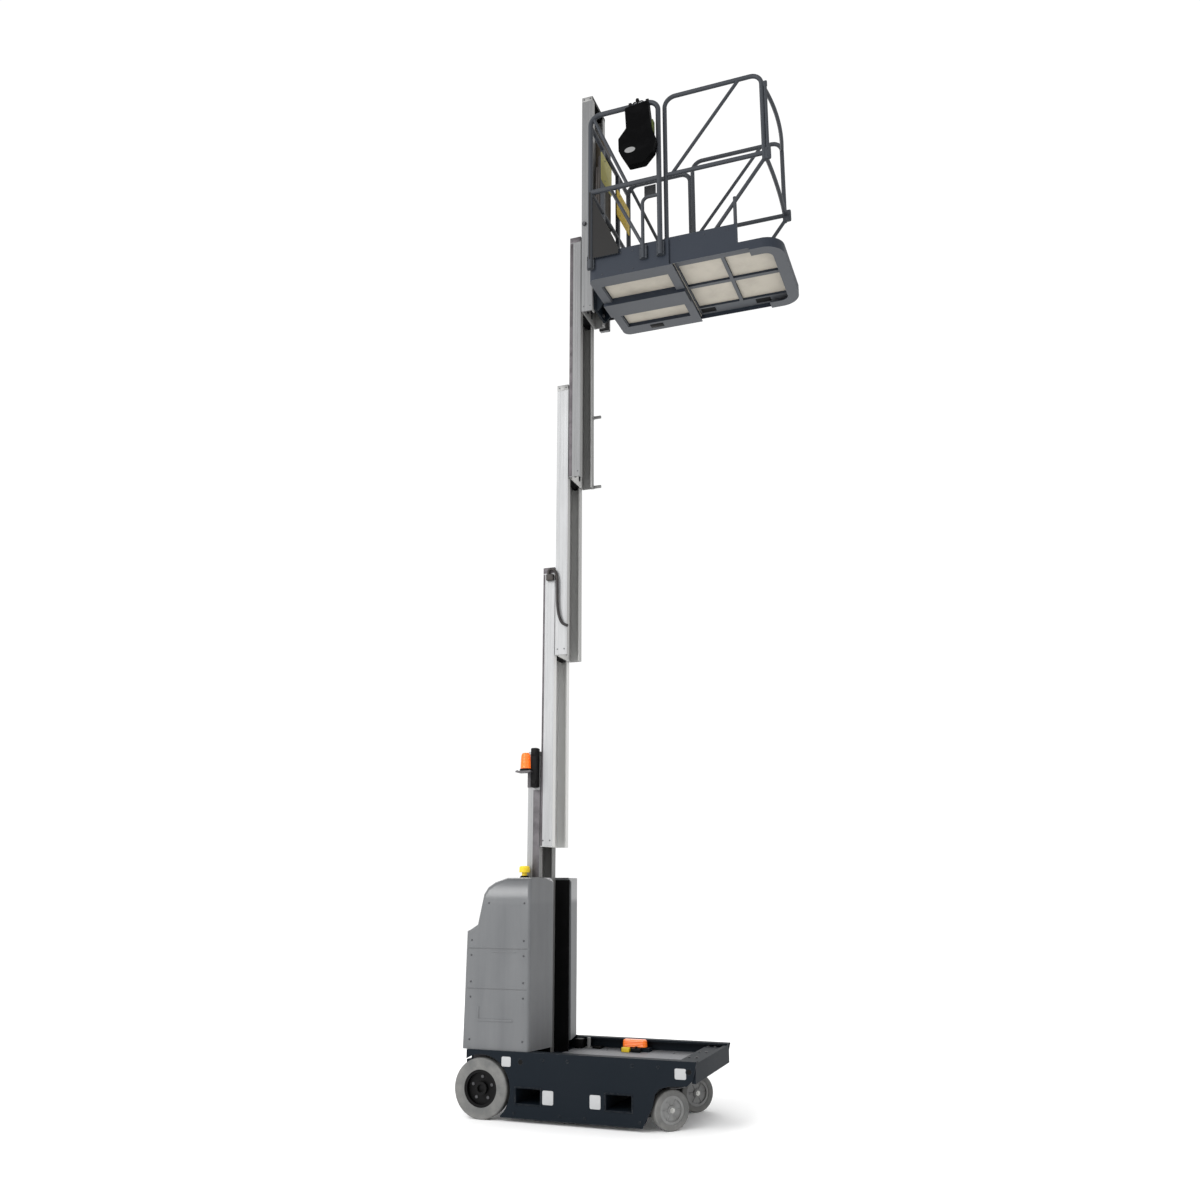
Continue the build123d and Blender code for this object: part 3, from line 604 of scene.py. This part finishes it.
def dressDriveWheel(side, sign, trim):
    body, outward = f"drive_wheel_{side}", (0, sign, 0)
    radius, circle = trim["radius"], trim["boltCircle"]
    centre = place(0, sign * (trim["half"] - trim["recess"]), radius)
    wall = place(0, sign * (trim["half"] - 0.0005), radius)
    build(f"wheel_bolts_{side}", body, "darkSteel", "black_hub", *[
        (hexBolt, (circle * math.cos(angle), centre.y, radius + circle * math.sin(angle)), outward, 0.017, 0.01)
        for angle in turnsOf(trim["bolts"], 0.25)])
    build(f"wheel_cap_{side}", body, "blackHub", "black_hub",
        (turned, [(0, -0.002), (0.031, -0.002), (0.031, 0.006), (0.027, 0.014), (0.012, 0.018), (0, 0.018)],
         centre, outward, 40),
        *[(tubeAlong, [centre + ray * 0.034, centre + ray * 0.078], 0.0045, 0, 10)
          for ray in rays(trim["bolts"], (1, 0, 0), up, 0.75)])
    # raised ring and small bars on the tyre's outer wall
    build(f"tyre_marks_{side}", body, "greyTyre", "grey_tyre",
        (turned, [(0.1, -0.003), (0.104, 0), (0.109, 0), (0.112, -0.003)], wall, outward, 64),
        *[(tubeAlong, [wall + ray * 0.122 - Vector((0, sign * 0.001, 0)),
                       wall + ray * 0.1435 - Vector((0, sign * 0.0018, 0))], 0.0015, 0, 6)
          for ray in rays(trim["marks"], (1, 0, 0), up)])


casterWheel = {"pivot": (1.05, 0.25), "trail": 0.03, "radius": 0.1, "half": 0.029, "turn": 45, "spokes": 6}


def dressCaster(side, sign, trim):
    angle = math.radians(trim["turn"])
    swing = Vector((-math.cos(angle), -math.sin(angle), 0))
    outward = Vector((math.sin(angle), -math.cos(angle), 0))
    pin = place(trim["pivot"][0], sign * trim["pivot"][1], 0)
    centre = pin + swing * trim["trail"] + Vector((0, 0, trim["radius"]))
    hub = centre + outward * (trim["half"] - 0.0125)
    nut = centre + outward * (trim["half"] - 0.004)
    inner = centre - outward * (trim["half"] + 0.0205)
    build(f"caster_spokes_{side}", f"caster_wheel_{side}", "casterGrey", "caster_hub",
        *[(tubeAlong, [hub + ray * 0.021, hub + ray * 0.057], 0.0045, 0, 8)
          for ray in rays(trim["spokes"], swing, up)],
        (turned, [(0.0575, -0.001), (0.0575, 0.006), (0.061, 0.009), (0.061, -0.001)], hub, outward, 48))
    build(f"caster_nut_{side}", f"caster_swivel_{side}", "zincBolt", "black_hub",
        (disc, 0.014, 0, 0.006, nut, outward, 6),
        (turned, [(0, 0.005), (0.007, 0.005), (0.006, 0.01), (0, 0.01)], nut, outward, 18))
    # swivel race under the top plate, its four bolts and the stiffening edge of the fork
    build(f"caster_race_{side}", f"caster_swivel_{side}", "darkSteel", "black_hub",
        (turned, [(0.03, 0.206), (0.052, 0.206), (0.055, 0.2105), (0.03, 0.2105)], pin, up, 36),
        *[(hexBolt, pin + Vector((ray.x * 0.046, ray.y * 0.046, 0.211)), (0, 0, -1), 0.01, 0.006)
          for ray in rays(4, (1, 0, 0), (0, 1, 0), 0.5)],
        *[(tubeAlong, [inner + swing * reach + Vector((0, 0, -0.012)),
                       inner + swing * (reach - 0.022) + Vector((0, 0, 0.108))], 0.0035, 0, 8)
          for reach in (-0.02, 0.019)],
        (hexBolt, inner, -outward, 0.019, 0.009))


for side, sign in bothSides:
    dressDriveWheel(side, sign, driveWheel)
    dressCaster(side, sign, casterWheel)
print("wheels dressed")


# ---- chassis

chassisTrim = {
    "half": 0.37,
    # blank plates: x, z, width, height
    "plates": ((0.392, 0.132, 0.062, 0.07), (0.657, 0.128, 0.06, 0.068), (1.117, 0.289, 0.06, 0.052),
               (0.148, 0.298, 0.054, 0.05)),
    "pockets": (0.278, 0.785), "pocketSize": (0.152, 0.088), "pocketHeight": 0.132, "beads": 22,
    "holes": (0.232, 1.162), "holeHeight": 0.3,
    # rows of bolts: z, all x, size across, height of the head
    "bolts": ((0.316, (0.36, 0.5, 0.86, 1), 0.012, 0.0045), (0.046, (0.2, 0.46, 0.6, 0.9), 0.01, 0.004)),
}


def dressChassisSide(side, sign, trim):
    outward, right, level = (0, sign, 0), (-sign, 0, 0), sign * trim["half"]
    holes = [(x, level, trim["holeHeight"]) for x in trim["holes"]]
    build(f"blank_plates_{side}", "chassis", "whitePlate", "cover_grey",
        *[(flatPlate, roundedOutline(width, height, 0.008), (x, level, z), right, up, 0.0011, 0.0004)
          for x, z, width, height in trim["plates"]])
    # weld beads round each pocket mouth, and a collar and a black plug for each hole
    wide, high = (size / 2 for size in trim["pocketSize"])
    beads = []
    for middle in trim["pockets"]:
        corners = [place(middle + u * wide, sign * (trim["half"] + 0.0004), trim["pocketHeight"] + v * high)
                   for u, v in ((-1, -1), (1, -1), (1, 1), (-1, 1))]
        for start, end in zip(corners, corners[1:] + corners[:1]):
            beads += [start.lerp(end, (k + 0.5) / trim["beads"]) for k in range(trim["beads"])]
    build(f"chassis_welds_{side}", "chassis", "chassisPaint", "chassis_paint",
        *[(turned, [(0, -0.0028), (0.0022, -0.0022), (0.003, 0), (0.0022, 0.0022), (0, 0.0028)],
           bead, (0.3, sign * 0.2, 1), 6) for bead in beads],
        *[(turned, [(0.0131, -0.0005), (0.0131, 0.001), (0.0165, 0.0016), (0.019, 0.0006), (0.019, -0.0005)],
           hole, outward, 32) for hole in holes])
    build(f"chassis_bolts_{side}", "chassis", "chassisPaint", "chassis_paint",
        *[(hexBolt, (x, level, z), outward, across, height)
          for z, row, across, height in trim["bolts"] for x in row])
    build(f"hole_plugs_{side}", "chassis", "blackPlastic", "black_plastic",
        *[(disc, 0.013, -0.0045, -0.001, hole, outward, 32) for hole in holes])


for side, sign in bothSides:
    dressChassisSide(side, sign, chassisTrim)

deckTrim = {
    "top": 0.29,
    "screws": (0.32, 0.5, 0.7, 0.9, 1.04), "rows": (-0.28, 0, 0.255), "middleScrews": (0.32, 1.04),
    "beamTop": 0.33, "beamBolts": ((1.09, 1.13), (-0.3, -0.1, 0.1, 0.3)),
    "post": (0.368, 0.306), "lamp": (0.66, 0.285),
}


def dressDeck(trim):
    top, post, (lampX, lampY) = trim["top"], trim["post"], trim["lamp"]
    beamX, beamY = trim["beamBolts"]
    build("deck_screws", "chassis", "darkSteel", "deck_grey",
        *[(domeScrew, (x, y, top), up, 0.0065) for x in trim["screws"] for y in trim["rows"]
          if y or x in trim["middleScrews"]],
        *[(hexBolt, (x, y, trim["beamTop"]), up, 0.012, 0.0045) for x in beamX for y in beamY])
    build("deck_yellow_tag", "chassis", "yellowPlastic", "yellow_plastic",
        (slab, (0.6, 0.214, top), (0.646, 0.246, top + 0.024), 0.003))
    # plug and lead of the lamp, then two fittings beside the foot of the left cover
    build("deck_fittings", "chassis", "blackPlastic", "black_plastic",
        (slab, (0.656, 0.216, top), (0.712, 0.248, top + 0.022), 0.004),
        (disc, 0.009, 0, 0.01, (0.684, 0.232, top + 0.021), up, 16),
        (tubeAlong, [(0.684, 0.25, top + 0.01), (0.69, 0.262, top + 0.012), (0.7, 0.33, top + 0.008),
                     (0.7, 0.352, top + 0.008)], 0.0045, 0.01, 10),
        (slab, (0.292, 0.262, top), (0.342, 0.33, top + 0.052), 0.005),
        (slab, (0.398, 0.28, top), (0.452, 0.332, top + 0.014), 0.004))
    build("deck_post", "chassis", "casterGrey", "deck_grey",
        (tubeAlong, [(*post, top), (*post, top + 0.058)], 0.011, 0, 18),
        (disc, 0.02, 0, 0.006, (*post, top), up))
    build("deck_lamp_flange", "chassis", "blackPlastic", "black_plastic",
        (flatPlate, roundedOutline(0.152, 0.058, 0.016), (lampX, lampY, top + 0.0195), ahead, (0, 1, 0),
         0.004, 0.001),
        *[(domeScrew, (x, lampY, top + 0.02), up, 0.0045) for x in (0.594, 0.74)])


dressDeck(deckTrim)
print("chassis dressed")


# ---- covers, rear panel and ground controls

coverTrim = {
    "half": 0.36, "slotHalf": 0.138, "top": 1.258,
    # screws: z, and x of the rear one; the front ones share an x
    "screws": ((0.4, -0.08), (0.62, -0.08), (0.7, -0.08), (0.84, -0.08), (0.92, -0.08), (1.12, 0.02)),
    "frontScrews": 0.236,
}


def dressCover(side, sign, trim):
    outward, level, inner = (0, sign, 0), sign * trim["half"], sign * trim["slotHalf"]
    raised, top = level + sign * 0.003, trim["top"]
    # embossed lines
    build(f"cover_ribs_{side}", "chassis", "coverGrey", "cover_grey",
        (slab, (-0.036, level, 0.496), (0.174, raised, 0.508), 0.0012),
        (slab, (-0.036, level, 0.508), (-0.026, raised, 0.57), 0.0012),
        (slab, (0.04, level, 0.856), (0.19, level + sign * 0.0022, 0.864), 0.0009))
    build(f"cover_screws_{side}", "chassis", "darkSteel", "cover_grey",
        *[(domeScrew, (x, level, z), outward, 0.0055)
          for z, rear in trim["screws"] for x in (rear, trim["frontScrews"])])
    # black lips along the mast slot
    build(f"cover_lips_{side}", "chassis", "blackPlastic", "black_plastic",
        (slab, (0.12, inner - sign * 0.0002, top - 0.0005), (0.298, inner + sign * 0.006, top + 0.0015), 0.0006))


for side, sign in bothSides:
    dressCover(side, sign, coverTrim)

rearTrim = {
    "face": -0.108, "boxFace": -0.112, "sunk": -0.1,      # x of the panel, of the control box and of its plate
    "louvres": 7, "louvreLow": 0.715, "louvreStep": 0.03, "stop": (-0.045, 0.6),
    # y, z and finish of the round buttons, then y and z of the small blank plates
    "buttons": ((0.04, 0.61, "greenPlastic"), (0.04, 0.56, "whitePlate"), (-0.045, 0.53, "yellowPlastic"),
                (0.04, 0.51, "whitePlate")),
    "blanks": ((0.072, 0.61), (0.072, 0.56), (0.072, 0.51), (-0.078, 0.53)),
}


def dressRear(trim):
    face, box, sunk = (trim[part] for part in ("face", "boxFace", "sunk"))
    right, stop = (0, -1, 0), (box, *trim["stop"])
    build("rear_louvres", "chassis", "coverGrey", "cover_grey",
        *[(flatPlate, [(-0.085, 0), (0.085, 0), (0.082, 0.014), (-0.082, 0.014)],
           (face, 0, trim["louvreLow"] + k * trim["louvreStep"]), right, up, 0.0045, 0.0018)
          for k in range(trim["louvres"])])
    # screws, and the key switch
    build("rear_screws", "chassis", "darkSteel", "cover_grey",
        *[(domeScrew, (face, y, z), aft, 0.0055) for y in (-0.122, 0.122) for z in (0.37, 0.56, 0.75, 0.94)],
        *[(domeScrew, (sunk, y, z), aft, 0.0045) for y in (-0.088, 0.088) for z in (0.462, 0.658)],
        (turned, [(0, 0), (0.013, 0), (0.013, 0.004), (0.009, 0.006), (0, 0.006)], (box, -0.045, 0.472), aft, 24))
    build("ground_stop_button", "chassis", "redPlastic", "black_plastic",
        (turned, [(0, 0), (0.015, 0), (0.015, 0.009), (0.022, 0.013), (0.021, 0.019), (0.012, 0.023), (0, 0.024)],
         stop, aft, 36))
    build("ground_stop_ring", "chassis", "yellowPlastic", "yellow_plastic",
        (turned, [(0.0205, 0), (0.029, 0), (0.029, 0.0025), (0.0205, 0.0025)], stop, aft, 36))
    for k, (y, z, finish) in enumerate(trim["buttons"]):
        build(f"ground_button_{k + 1}", "chassis", finish, "black_plastic",
            (turned, [(0, -0.001), (0.0085, -0.001), (0.0085, 0.0045), (0.007, 0.006), (0, 0.006)],
             (box, y, z), aft, 28))
    build("rear_blank_plates", "chassis", "whitePlate", "cover_grey",
        *[(flatPlate, roundedOutline(0.022, 0.016, 0.003), (sunk, y, z), right, up, 0.0008)
          for y, z in trim["blanks"]],
        (flatPlate, roundedOutline(0.11, 0.06, 0.006), (face, 0, 0.41), right, up, 0.0009))
    # hour meter window and charger socket cap
    build("rear_socket_cap", "chassis", "blackPlastic", "black_plastic",
        (flatPlate, roundedOutline(0.04, 0.022, 0.004), (sunk, 0, 0.64), right, up, 0.004, 0.0012),
        (turned, [(0, 0), (0.022, 0), (0.022, 0.01), (0.018, 0.014), (0, 0.014)], (face, 0.09, 0.41), aft, 32))


dressRear(rearTrim)

beaconTrim = {"foot": (0.146, -0.17, 1.868), "ribs": 12, "blockStraps": (1.8, 1.97), "knob": (0.15, -0.172, 1.258)}


def dressBeacon(trim):
    foot = place(*trim["foot"])
    # foot ring of the lens, and the junction block up the near side of the fixed section
    build("beacon_block", "chassis", "blackPlastic", "black_plastic",
        (turned, [(0.0305, 0), (0.0345, 0), (0.0345, 0.01), (0.031, 0.014), (0.03, 0.012)], foot, up, 40),
        (slab, (0.176, -0.1245, 1.772), (0.2185, -0.172, 2.004), 0.008),
        *[(slab, (0.184, -0.171, z - 0.012), (0.212, -0.176, z + 0.012), 0.002)
          for z in trim["blockStraps"]])
    build("beacon_bolts", "chassis", "darkSteel", "rail_paint",
        *[(hexBolt, (x, y, trim["foot"][2]), up, 0.009, 0.004)
          for x in (0.104, 0.184) for y in (-0.196, -0.136)],
        *[(hexBolt, (0.162, -0.13, z), (0, -1, 0), 0.01, 0.004) for z in (1.79, 1.845)])
    build("beacon_ribs", "chassis", "amberLens", "amber_lens",
        *[(tubeAlong, [foot + ray * 0.0295 + Vector((0, 0, 0.016)),
                       foot + ray * 0.0258 + Vector((0, 0, 0.092))], 0.0011, 0, 6)
          for ray in rays(trim["ribs"], (1, 0, 0), (0, 1, 0))])
    # collar of the lowering knob
    build("knob_collar", "chassis", "blackPlastic", "black_plastic",
        (turned, [(0.0155, 0), (0.026, 0), (0.026, 0.006), (0.019, 0.012), (0.0155, 0.012)],
         trim["knob"], up, 32))


dressBeacon(beaconTrim)
print("covers dressed")


# ---- mast sections: head caps, side strips, lifting chains

mastTrim = {
    "half": 0.124, "firstFace": 0.22, "pitch": 0.081, "depth": 0.076, "stroke": 1.13,
    "fixedFoot": 0.29, "foot": 0.304, "coverTop": 1.262, "top": 1.984, "proud": 0.001,
    # section, body, top above the common line, dark strip width at the back edge, finish of strip and head
    "sections": (
        (1, "chassis", 0, 0, "paleStrip"),
        (2, "mast_stage_2", 0, 0.012, "headAlloy"),
        (3, "mast_stage_3", 0.08, 0, "paleStrip"),
        (4, "mast_stage_4", 0, 0.022, "headAlloy"),
        (5, "platform", -0.065, 0, "paleStrip"),
    ),
    "chainRow": 0.036, "linkPitch": 0.03, "linkHalves": (0.0048, 0.007),
}


def dressSection(number, body, over, dark, finish, trim):
    half, proud, pitch = trim["half"], trim["proud"], trim["linkPitch"]
    face = trim["firstFace"] + (number - 1) * trim["pitch"]
    back = face - trim["depth"]
    foot = trim["fixedFoot"] if number == 1 else trim["foot"] + (number - 1) * trim["stroke"]
    low = trim["coverTop"] if number == 1 else foot + 0.004      # lowest height at which the sides show
    top = trim["top"] + (number - 1) * trim["stroke"] + over
    # lid over the head and its cheeks; the last head has no lid, so it keeps to its CAD height
    lids = [(slab, (back + 0.0005, -half - proud, top), (face - 0.0005, half + proud, top + 0.002), 0.0006)]
    cheek = top + 0.002
    if number == 5:
        lids, cheek = [], top
    build(f"head_cap_{number}", body, finish, "mast_alloy", *lids,
        *[(slab, (back + 0.0005, sign * half, top - 0.034), (face - 0.0005, sign * (half + proud), cheek), 0.0004)
          for sign in (-1, 1)])
    build(f"head_screws_{number}", body, "darkSteel", "mast_alloy",
        *[(turned, [(0, -0.0004), (0.005, -0.0004), (0.0048, 0.0009), (0, 0.0009)],
           (x, sign * (half + clear), z), (0, sign, 0), 16)
          for sign in (-1, 1) for x in (back + 0.016, face - 0.016)
          for z, clear in ((top - 0.017, 0.0008), (low + 0.03, 0))])
    # long shallow grooves of the drawn section, shown as thin raised lands
    start = back + dark + 0.006
    build(f"side_lands_{number}", body, f"mastAlloy{number}", "mast_alloy",
        *[(slab, (x - 0.0035, sign * half, low), (x + 0.0035, sign * (half + proud * 0.8), top - 0.036), 0.0003, 1)
          for x in [start + (face - 0.004 - start) * share for share in (0.2, 0.55, 0.92)] for sign in (-1, 1)])
    if dark:
        build(f"side_strip_{number}", body, finish, "mast_alloy",
            *[(slab, (back + 0.0008, sign * half, low), (back + dark, sign * (half + proud), top - 0.04), 0.0004)
              for sign in (-1, 1)])
    # two leaf chains inside the channel
    links, z, count = [], foot + 0.03, 0
    while z < top - 0.05:
        wide = trim["linkHalves"][count % 2]
        links += [(slab, (face - 0.0665, row - wide, z), (face - 0.06, row + wide, z + pitch * 0.92))
                  for row in (-trim["chainRow"], trim["chainRow"])]
        z, count = z + pitch, count + 1
    build(f"lift_chains_{number}", body, "darkSteel", "mast_alloy", *links)


for section in mastTrim["sections"]:
    dressSection(*section, mastTrim)

# dark strip up the fixed section beside the next one; side and upper end
stripEnds = ((-1, 1.76), (1, 1.945))
build("side_strip_1", "chassis", "stripAlloy", "mast_alloy",
    *[(slab, (0.178, sign * 0.124, 1.262), (0.2195, sign * 0.125, high), 0.0004) for sign, high in stripEnds])

hookHose = {"radius": 0.0085, "level": -0.1405,
            "points": ((0.265, 3.045), (0.265, 3.09), (0.278, 3.104), (0.308, 3.092), (0.323, 3.04),
                       (0.325, 2.88), (0.333, 2.81), (0.356, 2.752), (0.395, 2.735))}
build("hook_hose", "mast_stage_2", "hoseRubber", "black_plastic",
    (tubeAlong, [(x, hookHose["level"], z) for x, z in hookHose["points"]], hookHose["radius"], 0.03, 12),
    (slab, (0.252, -0.125, 3.03), (0.298, -0.15, 3.068), 0.003))

# stop brackets on the left edge of the fourth section
bracketHeights = (3.7, 4.183)
build("stop_brackets", "mast_stage_4", "casterGrey", "black_plastic",
    *[row for z in bracketHeights for row in (
        (slab, (0.438, 0.1242, z), (0.462, 0.146, z + 0.022), 0.002),
        (slab, (0.4625, 0.1315, z + 0.002), (0.508, 0.146, z + 0.02), 0.003))])
print("mast dressed")


# ---- platform

platformTrim = {
    "half": 0.365, "railY": 0.381, "midRail": 5.49, "midRailEnds": (0.645, 1.064),
    "posts": ((0.627, 0.016), (0.972, 0.011), (1.082, 0.016)),      # x and radius
    "socketScrews": (4.968, 5.022), "wallScrews": ((0.7, 0.82, 0.9), (4.905, 5.03)),
    "frontCorner": 0.335, "toeScrews": (1.2, 1.35, 1.5),
}


def dressPlatformSide(side, sign, trim):
    outward, railY = (0, sign, 0), trim["railY"]
    wallX, wallZ = trim["wallScrews"]
    build(f"socket_screws_{side}", "platform", "railPaint", "rail_paint",
        *[(domeScrew, (x + shift, sign * railY, z), outward, 0.0038)
          for x, radius in trim["posts"] for shift in (-0.019, 0.019) for z in trim["socketScrews"]],
        *[(domeScrew, (x, sign * trim["half"], z), outward, 0.005) for x in wallX for z in wallZ])
    # weld collars where the tubes meet
    build(f"rail_welds_{side}", "platform", "railPaint", "rail_paint",
        *[(turned, [(0.0155, -0.004), (0.0175, 0), (0.0155, 0.004)],
           (x, sign * (railY - 0.0018), trim["midRail"]), ahead, 24) for x in trim["midRailEnds"]],
        *[(turned, [(radius - 0.0005, 5.039), (radius + 0.003, 5.04), (radius + 0.003, 5.044),
                    (radius - 0.0005, 5.048)], (x, sign * (railY - 0.0032), 0), up, 24)
          for x, radius in trim["posts"]])
    # rolled top edges of the toe boards
    build(f"toe_bead_{side}", "platform", "toePaint", "chassis_paint",
        (tubeAlong, [(x, sign * 0.362, 5.06) for x in (0.655, 1.129)], 0.0032, 0, 10))
    build(f"toe_bead_front_{side}", "extension_deck", "toePaint", "chassis_paint",
        (tubeAlong, [(x, sign * 0.351, 5.0725) for x in (1.1, 1.554)], 0.0026, 0, 10))
    post = []
    if side == "left":
        # painted shade under the rim where the decks slide on each other: thin black sheets
        build("rim_fitting", "platform", "blackPlastic", "cover_grey",
            (slab, (0.805, 0.286, 4.878), (0.895, 0.33, 4.8805), 0.0006))
        build("rim_fittings_front", "extension_deck", "blackPlastic", "cover_grey",
            *[(slab, (x - 0.048, 0.278, 4.918), (x + 0.048, 0.326, 4.9205), 0.0006) for x in (1.21, 1.576)])
    else:
        post = [(tubeAlong, [(1.757, -trim["frontCorner"], z) for z in (5.52, 6.01)], 0.0105, 0, 16),
                (slab, (1.735, -0.327, 5.99), (1.77, -0.343, 6.032), 0.006)]
    # stout corner post of the right side, and the knuckle of each side
    build(f"corner_post_{side}", "extension_deck", "railPaint", "rail_paint", *post,
        (slab, (1.73, sign * 0.3235, 5.478), (1.776, sign * 0.3465, 5.562), 0.009))
    build(f"corner_screws_{side}", "extension_deck", "railPaint", "rail_paint",
        *[(domeScrew, (1.755, sign * 0.3465, z), outward, 0.005) for z in (5.498, 5.545)],
        *[(domeScrew, (x, sign * 0.353, 5.045), outward, 0.0045) for x in trim["toeScrews"]])
    # blank plate hung below the thin rail
    build(f"rail_plate_{side}", "platform", "coverGrey", "cover_grey",
        (slab, (0.985, sign * 0.3795, 5.372), (1.06, sign * 0.3825, 5.448), 0.001))


for side, sign in bothSides:
    dressPlatformSide(side, sign, platformTrim)

headTrim = {
    "cabinet": ((0.5455, -0.074, 5.42), (0.606, 0.074, 6.115)), "cabinetStraps": (5.52, 6.02),
    # hoses: radius, points
    "hoses": (
        (0.0125, ((0.58, -0.073, 5.98), (0.59, -0.098, 5.96), (0.592, -0.108, 5.86), (0.588, -0.112, 5.6),
                  (0.592, -0.116, 5.3), (0.6, -0.112, 5.06), (0.6, -0.11, 4.917))),
        (0.0125, ((0.56, -0.073, 5.9), (0.568, -0.092, 5.88), (0.572, -0.104, 5.78), (0.57, -0.108, 5.5),
                  (0.572, -0.1, 5.34), (0.59, -0.088, 5.2), (0.596, -0.086, 4.917))),
        (0.01, ((0.59, 0.03, 5.424), (0.596, 0.034, 5.38), (0.61, 0.06, 5.32), (0.628, 0.105, 5.18),
                (0.628, 0.105, 5.02), (0.628, 0.1, 4.917))),
        (0.01, ((0.59, -0.03, 5.424), (0.594, -0.034, 5.37), (0.608, -0.02, 5.28), (0.63, 0.03, 5.14),
                (0.63, 0.06, 5), (0.63, 0.062, 4.917))),
        (0.01, ((0.592, -0.06, 5.424), (0.6, -0.064, 5.36), (0.612, -0.072, 5.24), (0.63, -0.06, 5.08),
                (0.63, -0.055, 4.917))),
    ),
    # plates on the rear rail: colour, width, height, y, z
    "plates": (("yellow", 0.27, 0.21, 0.225, 5.74), ("olive", 0.205, 0.215, -0.118, 5.805)),
    "plateScrews": ((-0.15, 5.73), (-0.15, 5.88), (0.15, 5.665), (0.15, 5.815)),
    "carriageBolts": (4.87, 4.98, 5.09, 5.2, 5.28),
}


def dressMastHead(trim):
    build("mast_cabinet", "platform", "brownCase", "black_plastic",
        (slab, *trim["cabinet"], 0.008, 3),
        *[(slab, (0.605, -0.06, z - 0.01), (0.608, 0.06, z + 0.01), 0.001) for z in trim["cabinetStraps"]])
    build("platform_hoses", "platform", "hoseRubber", "black_plastic",
        *[(tubeAlong, points, radius, 0.05, 12) for radius, points in trim["hoses"]])
    for colour, width, height, y, z in trim["plates"]:
        build(f"{colour}_blank_plate", "platform", f"{colour}Plate", "yellow_plastic",
            (flatPlate, roundedOutline(width, height, 0.014), (0.6392, y, z), (0, 1, 0), up, 0.0025, 0.0008))
    # screws of the plates, and the small stop knob on the last section's near side
    build("plate_straps", "platform", "darkSteel", "rail_paint",
        *[(domeScrew, (0.6417, y, z), ahead, 0.0055) for y, z in trim["plateScrews"]],
        (turned, [(0, 0), (0.014, 0), (0.014, 0.012), (0.01, 0.016), (0, 0.016)],
         (0.488, -0.124, 5.462), (0, -1, 0), 20))
    # relay box beside the foot of the last section
    build("relay_box", "platform", "coverGrey", "cover_grey",
        (slab, (0.486, 0.1575, 4.826), (0.556, 0.195, 4.955), 0.006),
        (slab, (0.5, 0.194, 4.84), (0.542, 0.197, 4.94), 0.001))
    build("relay_bracket", "platform", "darkSteel", "rail_paint",
        (slab, (0.55, 0.16, 4.895), (0.6052, 0.166, 4.94), 0.001),
        (slab, (0.602, 0.156, 4.89), (0.6052, 0.19, 4.945), 0.0008),
        (tubeAlong, [(0.52, 0.176, 4.954), (0.52, 0.176, 5), (0.56, 0.176, 5.04), (0.603, 0.176, 5.04)],
         0.006, 0.03, 10))
    build("carriage_bolts", "platform", "darkSteel", "carriage_paint",
        *[(hexBolt, (0.556, y, z), ahead, 0.019, 0.01) for z in trim["carriageBolts"] for y in (-0.05, 0.05)])


dressMastHead(headTrim)

controlTrim = {"lever": (0.96, -0.424), "guard": ((0.925, 5.996), (0.925, 6.052), (0.995, 6.052), (0.995, 5.999)),
               "hangers": (0.892, 1.006), "stop": (0.93, -0.397, 5.93), "buttons": (5.87, 5.835)}


def dressControlBox(trim):
    lever, stop, inward = trim["lever"], trim["stop"], (0, 1, 0)
    build("control_green_tag", "platform", "greenPlastic", "yellow_plastic",
        (slab, (1.0555, -0.44, 5.79), (1.0655, -0.402, 5.874), 0.002))
    # hangers over the top rail, lever with its guard
    build("control_lever", "platform", "blackPlastic", "black_plastic",
        *[(slab, (x, -0.4, 5.985), (x + 0.02, -0.36, 6.0668), 0.002) for x in trim["hangers"]],
        (turned, [(0, 0), (0.02, 0), (0.018, 0.008), (0.01, 0.016), (0.006, 0.02), (0, 0.02)],
         (*lever, 5.999), up, 28),
        (tubeAlong, [(*lever, 6.01), (*lever, 6.045)], 0.0055, 0, 14),
        (turned, [(0, 0), (0.01, 0.002), (0.012, 0.01), (0.01, 0.019), (0, 0.022)], (*lever, 6.04), up, 24),
        (tubeAlong, [(x, -0.41, z) for x, z in trim["guard"]], 0.0035, 0.015, 10))
    # buttons on the side that faces the platform
    build("control_stop_button", "platform", "redPlastic", "black_plastic",
        (turned, [(0, -0.001), (0.009, -0.001), (0.009, 0.007), (0.014, 0.01), (0.013, 0.014), (0, 0.016)],
         stop, inward, 28))
    build("control_buttons", "platform", "yellowPlastic", "yellow_plastic",
        (turned, [(0.0145, -0.001), (0.02, -0.001), (0.02, 0.002), (0.0145, 0.002)], stop, inward, 28),
        *[(turned, [(0, -0.001), (0.009, -0.001), (0.009, 0.003), (0.007, 0.006), (0, 0.006)],
           (*stop[:2], z), inward, 24) for z in trim["buttons"]])


dressControlBox(controlTrim)
print("platform dressed")
